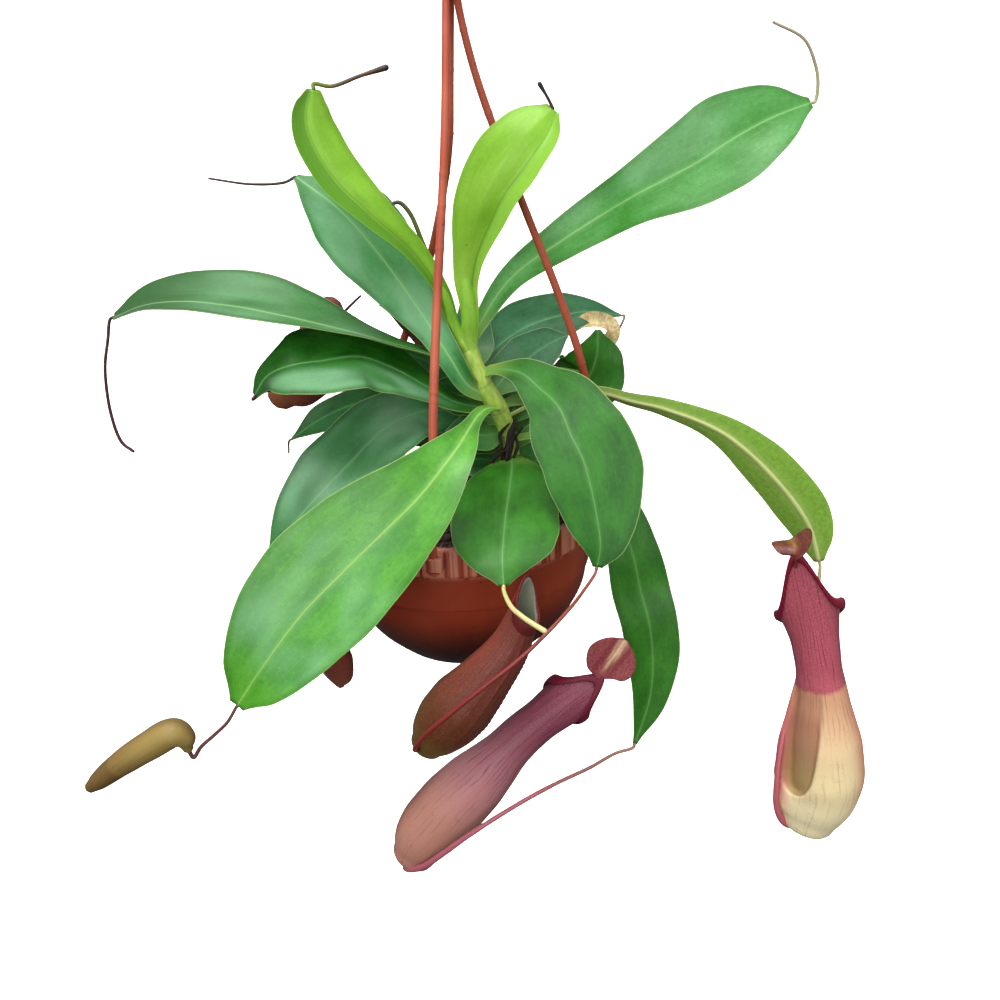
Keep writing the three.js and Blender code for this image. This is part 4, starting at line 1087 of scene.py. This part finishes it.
closed_pitcher(
    "young", [(0, 2.5), (0.05, 5), (0.14, 7.4), (0.3, 7.6), (0.6, 6.8), (0.85, 5.4), (0.95, 4.4), (1, 3)],
    pitcher_look(
        "pitcher_golden", (118, 90, 42), (150, 128, 68), (120, 96, 46), (92, 56, 32), (90, 50, 30),
        change=0.72,
    ),
)
HIDDEN_LOOK = pitcher_look(
    "pitcher_dark_red", (138, 62, 46), (140, 84, 50), (122, 52, 40), (84, 28, 22), (90, 26, 24), change=0.3,
)
closed_pitcher(
    "hidden_low", [(0, 2), (0.1, 6), (0.3, 8), (0.6, 6.5), (0.9, 5.5), (1, 3)], HIDDEN_LOOK,
)
piece(
    "pitcher_hidden_left_spur", tube([(-62, 42, 98), (-57, 41, 103), (-50, 40, 109)], [(0, 0.9), (1, 0.6)]),
    stalk_look("spur_skin", (92, 52, 40), (70, 48, 38)),
)
closed_pitcher(
    "hidden_left", [(0, 9), (0.12, 14), (0.3, 18), (0.5, 15), (0.7, 12), (0.92, 10), (1, 8)], HIDDEN_LOOK,
)


# Tendrils: path from the leaf's tip, radii, and the colours of its start and end
def tip_of(name, aways=(0.4, 2.4)):
    path = Path(LEAVES[name]["mid"])
    end, tangent = path.at(1.0), path.tangent(1.0)
    return [tuple(end + tangent * away) for away in aways]


def base_of(name):
    path = Path(PITCHER_AXES[name])
    start, tangent = path.at(0.0), path.tangent(0.0)
    return [tuple(start - tangent * away) for away in (2.0, 0.4)]


RED_BROWN = ((96, 44, 36), (88, 36, 32))
TENDRILS = {
    "tendril_long_left": (
        tip_of("leaf_long_left") + [
            (-172, -6, 101), (-176, -6, 86), (-177, -6, 62), (-174, -6, 47), (-169, -6, 42),
        ],
        [(0, 0.8), (1, 0.9)], ((74, 46, 34), (82, 34, 36)),
    ),
    "tendril_upper_left": (
        tip_of("leaf_upper_left", [0.3]) + [(-82, 26, 170), (-102, 40, 169), (-125, 50, 172)],
        [(0, 0.8), (1, 0.6)], ((92, 76, 60), (66, 44, 36)),
    ),
    "tendril_young_left": (
        tip_of("leaf_young_left") + [(-50, -2, 214), (-36, -2, 218), (-24, -2, 221)],
        [(0, 1), (0.7, 0.9), (1, 1.5)], ((120, 140, 54), (92, 62, 40), (48, 26, 22)),
    ),
    "tendril_young_centre": (
        tip_of("leaf_young_centre", [0.0]) + [(50.5, -2, 205), (47, -2, 211)],
        [(0, 0.8), (0.6, 0.7), (1, 1.1)], ((70, 40, 30), (44, 24, 20)),
    ),
    "tendril_upper_right": (
        tip_of("leaf_upper_right") + [(183, 18, 206), (181, 18, 215), (175, 18, 226), (160, 18, 234)],
        [(0, 0.9), (1, 0.7)], ((186, 190, 140), (176, 160, 132)),
    ),
    "tendril_small_left": (
        tip_of("leaf_small_left") + [(-94, 20, 29)], [(0, 0.7), (1, 0.5)], ((110, 120, 70), (90, 80, 50)),
    ),
    "tendril_back_right": (
        tip_of("leaf_back_right_1") + [(91, 51, 84), (87, 50, 77), (83, 48, 71)], [(0, 0.7), (1, 0.5)],
        ((150, 140, 110), (140, 120, 96)),
    ),
    "tendril_front_small": (
        tip_of("leaf_front_small") + [(23, -104, -8), (27, -113, -8), (31, -118, -9), (37, -121, -12)],
        [(0, 0.9), (0.3, 1.1), (1, 1.2)], ((206, 208, 128), (228, 212, 148)),
    ),
    "tendril_front_left": (
        tip_of("leaf_front_left") + [
            (-115, -94, -68), (-122, -93, -75), (-130, -93, -82), (-134, -94, -87),
        ] + base_of("young"),
        [(0, 0.8), (1, 1.1)], ((112, 66, 66), (104, 56, 54)),
    ),
    "tendril_front_right": (
        tip_of("leaf_front_right") + [
            (57, -84, -12), (50, -98, -13), (40, -109, -18), (26, -116, -28), (8, -119, -41),
            (-7, -118, -54), (-18, -114, -66), (-25, -106, -79), (-25, -94, -88),
        ] + base_of("front"),
        [(0, 0.8), (1, 1.3)], ((150, 76, 62), (128, 36, 30)),
    ),
    "tendril_hanging_right": (
        tip_of("leaf_hanging_right") + [
            (77, -42, -131), (62, -54, -131), (44, -70, -128), (29, -80, -129), (12, -84, -137),
            (-5, -84, -149), (-19, -80, -163), (-31, -72, -177), (-40, -61, -185),
        ] + base_of("middle"),
        [(0, 0.9), (0.5, 1.2), (0.85, 1.8), (1, 2.2)], ((166, 122, 104), (174, 92, 104)),
    ),
    "tendril_arching_right": (
        tip_of("leaf_arching_right") + [
            (203, 26, -78), (199, 23, -103), (190, 14, -130), (184, 6, -145), (179.5, -1, -162),
            (177.5, -4, -182), (178, -4, -198), (182, -3, -210), (188, -1, -216),
        ] + base_of("right"),
        [(0, 1), (0.5, 1.3), (0.8, 1.9), (0.9, 2.2), (1, 2.5)], ((222, 214, 160), (190, 96, 106)),
    ),
    "tendril_lower_left": (
        tip_of("leaf_lower_left") + [
            (-94, -48, -20), (-88, -50, -44), (-80, -46, -62), (-73, -48, -72),
        ] + base_of("hidden_low"),
        [(0, 0.8), (1, 1.2)], RED_BROWN,
    ),
    "tendril_wide_left": (
        tip_of("leaf_wide_left") + [(-95, -14, 73), (-90, 6, 68), (-87, 26, 64), (-88, 38, 62)],
        [(0, 0.8), (1, 1.2)], RED_BROWN,
    ),
}
for number, (name, (path, radii, colours)) in enumerate(TENDRILS.items()):
    slot = "young_leaf" if name == "tendril_front_small" else "tendril"
    piece(
        f"{name}_stalk", tube(path, radii, sides=16, steps=140, rough=0.06, seed=number + 40),
        stalk_look(f"{name}_skin", *colours), [name],
    )
SHOOT = [
    (3.3, 14.4, 89), (-1, 17, 95), (-7, 18, 102), (-12, 16, 114), (-11, 15, 131), (-14, 15, 141),
    (-19, 15, 154), (-24, 15, 159), (-30, 14, 157),
]
piece(
    "new_shoot_stalk",
    tube(SHOOT, [(0, 1.4), (0.6, 1.1), (0.85, 1.2), (1, 0.9)], sides=16, steps=120, rough=0.05),
    stalk_look("new_shoot_skin", (132, 158, 56), (104, 122, 44), (78, 64, 34)), ["new_shoot"],
)

# Stem, with a ring at each node where a leaf clasps it
NODES = [24, 37, 51, 66]
STEM_RADII = [(0, 3.6), (0.4, 4.2), (0.55, 4.6), (0.7, 5.2), (0.85, 5.4), (0.96, 4.8), (1, 4)]


def stem_body():
    body, faces, marks = tube(STEM_PATH, STEM_RADII, sides=40, steps=260, rough=0.02)
    path = Path(STEM_PATH)
    z = path.at(marks["reach"][:, 0])[:, 2]
    swell = 1 + sum(0.03 * np.exp(-(((z - node) / 2.5) ** 2)) for node in NODES)
    centre = path.at(marks["reach"][:, 0])[:, None]
    body = centre + (body - centre) * swell[:, None, None]
    scar = sum(np.exp(-(((z - node + 1.2) / 0.5) ** 2)) for node in NODES)
    marks["scar"] = np.broadcast_to(np.clip(scar, 0, 1)[:, None], body.shape[:2])
    return body, faces, marks


def stem_look():
    look = Look("stem_green", Coat_Weight=0.1, Coat_Roughness=0.3)
    reach, along, turn, scar = (look.mark(k) for k in ("reach", "along", "turn", "scar"))
    where = look.space(along * 0.1, turn * 9.0)
    streak = look.noise(1.6, 4, where)
    colour = look.tint((164, 202, 74), (206, 230, 116), streak, 0.3, 0.7)
    colour = look.tint(colour, (104, 78, 46), reach, 0.45, 0.15)
    colour = look.mix(scar * 0.35, colour, (120, 112, 54))
    spots = look.specks(520, 0.2, 0.25)
    look.colour(look.mix(spots * 0.3, colour, (96, 104, 40)))
    look.roughness(look.ease(streak, 0.3, 0.7, 0.36, 0.52))
    look.bump(streak - scar * 0.7, 0.2, 0.0002)
    return look.material


def young_stalk(name, share, seed):
    """The round stalk of a young leaf, which carries the stem on and thins out into the leaf's midrib."""
    path = Path(LEAVES[name]["mid"])
    behind = np.outer([0, 0, 0.8, 2.2, 3.6], (0, 1, 0))
    points = [
        on_stem(76), on_stem(83), *map(tuple, path.at(np.array([0.02, 0.09, 0.18, 0.27, 0.36])) + behind),
    ]
    radii = [(0, 4), (0.18, 4.6), (0.4, 4.4 * share), (0.65, 3.6 * share), (0.85, 2.2 * share), (1, 0.5)]
    return tube(points, radii, sides=28, steps=90, rough=0.015, seed=seed)


piece("stem_stalk", stem_body(), stem_look(), ["stem"])
stalks = merged([young_stalk("leaf_young_left", 0.6, 3), young_stalk("leaf_young_centre", 1.0, 4)])
piece("stem_young_stalks", stalks, stalk_look("young_stalk_skin", (186, 226, 96), (150, 208, 66)))
FILLERS = {
    "leaf_inner_back": [(24, 24, 42), (17, 31, 60), (10, 35, 78), (5, 37, 92)],
    "leaf_inner_left": [(28, 20, 28), (12, 18, 34), (-6, 16, 36), (-24, 13, 33)],
    "leaf_inner_right": [(30, 20, 24), (42, 18, 30), (55, 13, 31), (66, 7, 26)],
    "leaf_inner_rear": [(25, 28, 30), (38, 32, 46), (54, 33, 58), (66, 32, 64)],
    "leaf_inner_upper": [(16, 24, 52), (2, 26, 64), (-14, 26, 74), (-28, 25, 81)],
    "leaf_inner_side": [(25, 24, 40), (32, 27, 50), (38, 29, 60), (42, 30, 68)],
    "leaf_inner_low": [(27, 18, 12), (16, 12, 22), (4, 8, 24), (-8, 4, 18)],
    "leaf_inner_low_right": [(29, 18, 8), (38, 12, 20), (50, 6, 22), (60, 0, 14)],
    "leaf_inner_middle": [(24, 22, 44), (12, 20, 54), (-4, 18, 58), (-20, 14, 60)],
}
for number, (name, mid) in enumerate(FILLERS.items()):
    body = blade(
        mid, [(0, 3), (0.25, 10), (0.6, 12), (0.88, 6), (1, 0.8)], [(0, (0, -0.8, 0.6))], steps=60,
        seed=number + 60,
    )
    piece(f"{name}_blade", body, LOOKS["dark"])
DEAD_LOOK = dry_look("dead_matter", (14, 10, 8), (48, 32, 25))


def dead_bits(count):
    """Dead leaf feet: dark twisted strands that hang from the stem in front of the mix."""
    bodies = []
    for k in range(count):
        start = np.array([rng.uniform(25, 33), rng.uniform(7, 11), rng.uniform(36, 47)])
        end = np.array([rng.uniform(16, 27), rng.uniform(0, 6), rng.uniform(12, 24)])
        path = [start + (end - start) * u + rng.normal(0, 1.1, 3) for u in (0, 0.25, 0.5, 0.75, 1)]
        width = rng.uniform(0.8, 1.7)
        radii = [(0, 0.4), (0.3, width), (0.7, 0.8 * width), (1, 0.3)]
        bodies.append(tube(path, radii, sides=12, steps=50, rough=0.5, seed=90 + k))
    return merged(bodies)


piece("stem_dead_feet", dead_bits(9), DEAD_LOOK)
CURL = [(62, 48, 84), (69, 46, 87), (78, 44, 88), (84, 44, 85), (84, 45, 76), (78, 48, 72)]
piece(
    "dry_curl_blade",
    blade(CURL, [(0, 2), (0.3, 5), (0.7, 4.5), (1, 0.6)], [(0, (0, -0.7, 0.7))], cup=0.7, steps=60),
    dry_look("dry_curl", (204, 168, 108), (240, 224, 172)),
)
OLD_STEM = [(36, 24, -30), (36, 24, -8), (35, 24, 8), (34, 24, 24)]
piece(
    "old_stem_stalk", tube(OLD_STEM, [(0, 1.8), (0.6, 2.2), (1, 1.4)], sides=18, steps=90, rough=0.2),
    LOOKS["dry"], ["old_stem"],
)

# Pot
RIM_RADIUS = 70.0
LUG_RADIUS = 73.0
LUG_ANGLES = (-100, 19, 140)
BORE_AT = 73.6
BORE_RADIUS = 2.4
DRAIN_AT = 24.0
DRAIN_HOLES = 8
LUG_SIZE = (8.8, 9, 7)
CLIP_RIB_SIZE = (1.6, 1.1, 12.6)
UNDERSIDE = [(0.6, -82), (6, -82), (6.6, -81.4), (9, -81.4), (9.6, -82), (33.2, -82)]
OUTER_WALL = [(34, -81.7), (38, -79.5), (44.2, -74.2)]
BELLY = [(45, -73.5), (52, -66.5), (58, -58), (64, -46), (66.2, -34.6)]
BELT = [(67, -34), (67.5, -26), (68, -15.2)]
RIM = [
    (69.3, -15.2), (69.8, -14.7), (70, -14), (70, -1.4), (69.6, -0.5), (68.8, 0), (66.6, 0), (66.0, -0.3),
    (65.8, -0.9),
]
INNER_WALL = [
    (65.2, -15), (64.6, -26), (63.8, -34), (61.5, -46), (55.5, -57), (50, -65), (42, -73), (33, -79.6),
]


def pot_body():
    section = UNDERSIDE + eased(OUTER_WALL, 8) + eased(BELLY, 26) + eased(BELT, 8) + RIM
    section += eased(INNER_WALL, 30) + [(0.6, -79.6)]
    pot = thing("pot_shell", lathe(section, 192), POT_LOOK)
    joins, drills = [], []
    for angle in LUG_ANGLES:
        turn = Matrix.Rotation(math.radians(angle), 4, "Z")
        lug = turn @ Matrix.Translation((LUG_RADIUS - 0.1, 0, -5.5 + POT_LIFT))
        joins.append(thing("lug", block(LUG_SIZE, 0.9, lug)))
        for side in (-6.2, 6.2):
            web = turn @ Matrix.Translation((RIM_RADIUS - 0.2, side, -7.4 + POT_LIFT))
            joins.append(thing("clip_rib", block(CLIP_RIB_SIZE, 0.35, web)))
        x, y = BORE_AT * math.cos(math.radians(angle)), BORE_AT * math.sin(math.radians(angle))
        drills.append(lathe([(0.05, -14), (BORE_RADIUS, -14), (BORE_RADIUS, 4), (0.05, 4)], 28, (x, y)))
    for k in range(DRAIN_HOLES):
        a = 2 * math.pi * (k + 0.5) / DRAIN_HOLES
        centre = (DRAIN_AT * math.cos(a), DRAIN_AT * math.sin(a))
        drills.append(lathe([(0.05, -84), (2, -84), (2, -77), (0.05, -77)], 24, centre))
    return carved(pot, joins, [thing("drills", merged(drills))])


POT_LOOK = plastic_look(
    "pot_terracotta", (146, 54, 28), (164, 68, 38), (104, 34, 16), 0.46, (1.0, 1.0, 0.25), painted_shade_and_scuffs=True,
)
piece("pot_shell", pot_body(), POT_LOOK, ["pot"])

# Potting mix, with crumbs, bark chips and fibres on its top
SOIL_EDGE = [
    (33, -78.9), (42, -72.4), (50, -64.4), (55.0, -56.6), (60.9, -46), (63.1, -34), (63.9, -26),
    (64.3, -16),
]


def soil_top(x, y):
    """Height of the mix, without its grains."""
    r = np.hypot(x, y)
    height = np.interp(r, [7, 24, 42, 58, 64.5], [-11, -11.5, -12, -13.5, -15])
    return height + POT_LIFT + 1.1 * ripples(x * 0.22, y * 0.22, 4) + 0.5 * ripples(x * 0.9, y * 0.9, 8)


def soil_body():
    top = [(r, -15) for r in np.linspace(63.9, 0.6, 64)]
    body, faces, marks = lathe([(0.6, -78.9)] + eased(SOIL_EDGE, 14) + top, 220)
    x, y = body[-64:, :, 0], body[-64:, :, 1]
    body[-64:, :, 2] = soil_top(x, y) + rng.normal(0, 0.22, x.shape)
    return body, faces, marks


def lump(middle, size, turn, rough):
    """A small uneven grain."""
    shape = bmesh.new()
    bmesh.ops.create_icosphere(shape, subdivisions=2, radius=1.0)
    points = np.array([tuple(v.co) for v in shape.verts])
    faces = [tuple(v.index for v in f.verts) for f in shape.faces]
    shape.free()
    points = points * (1 + rough * rng.uniform(-1, 1, (len(points), 1))) * size
    points = points @ np.array(Matrix.Rotation(turn[0], 3, "Z") @ Matrix.Rotation(turn[1], 3, "X")).T
    return points + middle, faces, {"shade": np.full(len(points), rng.uniform(0, 1))}


def on_soil(reach=62.5):
    r, a = reach * math.sqrt(rng.uniform()), rng.uniform(0, 2 * math.pi)
    x, y = r * math.cos(a), r * math.sin(a)
    return np.array([x, y, float(soil_top(x, y))])


def crumbs(count):
    bodies = []
    for _ in range(count):
        size = rng.uniform(0.7, 2.3) * rng.uniform(0.6, 1.1, 3)
        bodies.append(lump(on_soil() + (0, 0, 0.25 * size[2]), size, rng.uniform(0, 6.3, 2), 0.16))
    return merged(bodies)


def chips(count):
    bodies = []
    for _ in range(count):
        size = np.array([rng.uniform(2.2, 5), rng.uniform(1.2, 2.4), rng.uniform(0.5, 1.0)])
        bodies.append(
            lump(on_soil(60) + (0, 0, 0.6), size, (rng.uniform(0, 6.3), rng.uniform(-0.4, 0.4)), 0.12)
        )
    return merged(bodies)


def fibres(count):
    bodies = []
    for _ in range(count):
        middle = on_soil(61.5) + (0, 0, 0.5)
        heading, length = rng.uniform(0, 2 * math.pi), rng.uniform(5, 17)
        along = np.array([math.cos(heading), math.sin(heading), 0])
        bend = np.array([-along[1], along[0], 0]) * rng.uniform(-3, 3)
        points = []
        for u in (0, 0.3, 0.65, 1):
            lift = (0, 0, rng.uniform(-0.3, 1.2))
            points.append(middle + along * length * (u - 0.5) + bend * math.sin(3.1 * u) + lift)
        radii = [(0, 0.1), (0.5, rng.uniform(0.14, 0.3)), (1, 0.08)]
        body, faces, _ = tube(points, radii, sides=6, steps=12)
        bodies.append((body, faces, {"shade": np.full(body.shape[:2], rng.uniform(0, 1))}))
    return merged(bodies)


def grain_look(name, dark, light):
    look = Look(name)
    grain = look.noise(1100, 3, None, 0.65)
    colour = look.mix(look.mark("shade"), dark, light)
    look.colour(look.tint(colour, toned(dark, 0.55), grain, 0.35, 0.7, 0.5))
    look.roughness(look.ease(grain, 0.3, 0.7, 0.75, 0.95))
    look.bump(grain, 0.7, 0.0005)
    return look.material


piece(
    "potting_mix_body", soil_body(), soil_look("soil_dark", (30, 22, 18), (62, 44, 34)),
    ["potting_mix"],
)
piece(
    "potting_mix_crumbs", crumbs(620), grain_look("soil_crumbs", (24, 17, 14), (74, 50, 38)),
)
piece("potting_mix_chips", chips(90), grain_look("soil_chips", (46, 28, 22), (104, 66, 48)))
piece(
    "potting_mix_fibres", fibres(260), grain_look("soil_fibres", (96, 58, 48), (172, 122, 96)),
)

# Hanger: hook, hub and three strands that end in a button under each lug
HUB = (8, 0.5, 256)
STRANDS = {
    "hanger_strand_1": [
        (5.6, -2.2, 260.5), (5.6, -2.2, 256), (5.6, -2.4, 252), (5.2, -6, 243), (3, -24, 201),
        (0, -38, 165), (-5, -52, 116), (-9, -64, 69), (-11, -71, 30),
    ],
    "hanger_strand_2": [
        (10.4, -0.4, 260.5), (10.4, -0.4, 256), (10.4, -0.3, 252), (11.4, 1, 243), (18, 4, 214),
        (36, 9, 161), (54, 13, 112), (65, 18, 78), (71, 22, 48), (71, 24, 24),
    ],
    "hanger_strand_3": [
        (7.6, 3.6, 260.5), (7.6, 3.6, 256), (7.5, 3.9, 250), (7, 5.2, 243), (5, 10, 214), (3, 14, 187),
        (-2, 22, 161), (-12, 33, 126), (-32, 42, 76), (-50, 46, 34),
    ],
}
BUTTON = [(0.1, -5.0), (2.4, -4.9), (3.0, -4.5), (3.2, -4.0), (3.1, -3.5), (2.2, -3.3), (0.1, -3.3)]
STRAND_LOOK = plastic_look(
    "strand_salmon", (178, 82, 60), (200, 106, 80), (122, 50, 36), 0.36, (1.0, 1.0, 0.08),
)


def strand(path, angle, seed):
    foot = (BORE_AT * math.cos(math.radians(angle)), BORE_AT * math.sin(math.radians(angle)))
    path = path + [(*foot, z) for z in (11, 4, -4)]
    body, faces, marks = tube(
        path, [(0, 1.7), (0.6, 2.1), (1, 2.1)], sides=20, steps=320, rough=0.025, seed=seed,
    )
    draw = np.random.default_rng(seed)
    reach = marks["reach"][:, 0]
    centre = Path(path).at(reach)[:, None]
    collar = sum(np.exp(-(((reach - t) / 0.0022) ** 2)) for t in draw.uniform(0.05, 0.93, 6))
    body = centre + (body - centre) * (1 + 0.13 * collar)[:, None, None]
    return merged([(body, faces, {}), lathe(BUTTON, 28, foot, 0)])


for number, (name, path) in enumerate(STRANDS.items()):
    piece(
        f"{name}_line", strand(path, LUG_ANGLES[number], number + 70), STRAND_LOOK,
        [name], sharp=40,
    )


HOOK_RADIUS = 14
HUB_SECTION = [
    (0.3, -4), (7.6, -4), (8.3, -3.6), (8.5, -2.9), (8.2, -1.6), (7.7, -1.2), (7.5, 2.4), (7.0, 3.4),
    (6.0, 4), (4.2, 4.2), (3.7, 5.6), (3.5, 7.2), (0.3, 7.4),
]


def hook_body():
    angles = [math.radians(a) for a in range(-60, 181, 20)]
    bend = [(HOOK_RADIUS * math.cos(a), 0, HOOK_RADIUS * math.sin(a)) for a in angles]
    bend += [(-14, 0, -10), (-8.4, 0, -19), (0, 0, -25), (8, 0.5, -33)]
    bend = [(x, y, z + RIM_DROP - 11) for x, y, z in bend]
    wire = tube(bend, [(0, 2.9), (0.1, 3), (1, 3)], sides=28, steps=220, rough=0.01)[:2]
    hub = thing("hanger_hook_body", lathe(HUB_SECTION, 72, HUB[:2], HUB[2] + 4), STRAND_LOOK)
    drills = [
        lathe([(0.05, -1), (2.2, -1), (2.2, 5.2), (0.05, 5.2)], 24, path[0][:2], HUB[2] - 0.2)
        for path in STRANDS.values()
    ]
    return carved(hub, [thing("wire", (*wire, {}))], [thing("drills", merged(drills))])


piece("hanger_hook_body", hook_body(), STRAND_LOOK, ["hanger_hook"])

# Floor, light and camera
STAGE_REACH = 30.0
FLOOR_DEPTH = -1.35
WALL_HEIGHT = 12.0
PALE = (0.93, 0.93, 0.93, 1)
WHITE = (1, 1, 1, 1)


def stage(name, body):
    """A plain pale backdrop that throws no light on the plant."""
    points, faces = body
    mesh = bpy.data.meshes.new(name)
    mesh.from_pydata(points, [], faces)
    look = Look(name, Base_Color=PALE, Roughness=0.9, Emission_Color=WHITE, Emission_Strength=1.0)
    mesh.materials.append(look.material)
    obj = bpy.data.objects.new(name, mesh)
    obj.visible_diffuse = False
    obj.visible_glossy = False
    obj.visible_transmission = False
    obj.visible_shadow = False
    bpy.context.scene.collection.objects.link(obj)


def studio():
    r, low, high = STAGE_REACH, FLOOR_DEPTH, WALL_HEIGHT
    corners = [(-r, -r), (r, -r), (r, r), (-r, r)]
    stage("floor", ([(*c, low) for c in corners], [(0, 1, 2, 3)]))
    walls = [(*c, z) for z in (low, high) for c in corners]
    stage("backdrop", (walls, [(k, (k + 1) % 4, (k + 1) % 4 + 4, k + 4) for k in range(4)]))


# The sky's brightness from straight down, at 0, to straight up, at 1
SKY_LEVELS = [(0.0, 0.08), (0.42, 0.14), (0.54, 0.42), (0.66, 0.36), (0.84, 0.5), (0.93, 1.1), (1.0, 1.7)]


def sky():
    """Soft light from above, less at eye level and little from below."""
    world = bpy.data.worlds.new("studio")
    bpy.context.scene.world = world
    world.use_nodes = True
    nodes, links = world.node_tree.nodes, world.node_tree.links
    where = nodes.new("ShaderNodeTexCoord")
    split = nodes.new("ShaderNodeSeparateXYZ")
    lift = nodes.new("ShaderNodeMapRange")
    lift.inputs["From Min"].default_value = -1.0
    ramp = nodes.new("ShaderNodeValToRGB")
    while len(ramp.color_ramp.elements) < len(SKY_LEVELS):
        ramp.color_ramp.elements.new(0.5)
    for element, (position, level) in zip(ramp.color_ramp.elements, SKY_LEVELS):
        element.position = position
        element.color = (level, level, level * 1.02, 1)
    links.new(where.outputs["Generated"], split.inputs[0])
    links.new(split.outputs["Z"], lift.inputs["Value"])
    links.new(lift.outputs["Result"], ramp.inputs[0])
    links.new(ramp.outputs[0], nodes["Background"].inputs["Color"])


def soft_light(name, direction, strength, spread, colour):
    light = bpy.data.lights.new(name, "SUN")
    light.energy = strength
    light.angle = math.radians(spread)
    light.color = colour
    obj = bpy.data.objects.new(name, light)
    obj.rotation_euler = Vector(direction).to_track_quat("Z", "Y").to_euler()
    bpy.context.scene.collection.objects.link(obj)


# The camera fitted to the photo: its focal length and the photo's width in pixels
FOCAL_PIXELS = 1072
PHOTO_WIDTH = 1000
CAMERA_AT = (0.02008, -0.53746, -0.0940)
CAMERA_DOWN = 21
CAMERA_ROLL = 2.5


def camera():
    pitch, roll = math.radians(CAMERA_DOWN), math.radians(CAMERA_ROLL)
    across, up = Vector((1, 0, 0)), Vector((0, math.sin(pitch), math.cos(pitch)))
    right = across * math.cos(roll) - up * math.sin(roll)
    top = across * math.sin(roll) + up * math.cos(roll)
    back = right.cross(top)
    data = bpy.data.cameras.new("camera")
    data.sensor_width = 36
    data.lens = data.sensor_width * FOCAL_PIXELS / PHOTO_WIDTH
    data.clip_start, data.clip_end = 0.01, 100
    obj = bpy.data.objects.new("camera", data)
    turn = Matrix((right, top, back)).transposed().to_4x4()
    obj.matrix_world = Matrix.Translation(CAMERA_AT) @ turn
    bpy.context.scene.collection.objects.link(obj)
    bpy.context.scene.camera = obj


studio()
sky()
soft_light("key", (-0.2, -0.28, 0.94), 2.1, 45, (1.0, 0.99, 0.97))
soft_light("fill", (-0.3, -0.92, 0.24), 1.15, 40, (1.0, 1.0, 1.0))
soft_light("side", (0.62, -0.72, 0.3), 0.35, 50, (1.0, 0.99, 0.97))
camera()
bpy.context.scene.view_settings.view_transform = "Standard"
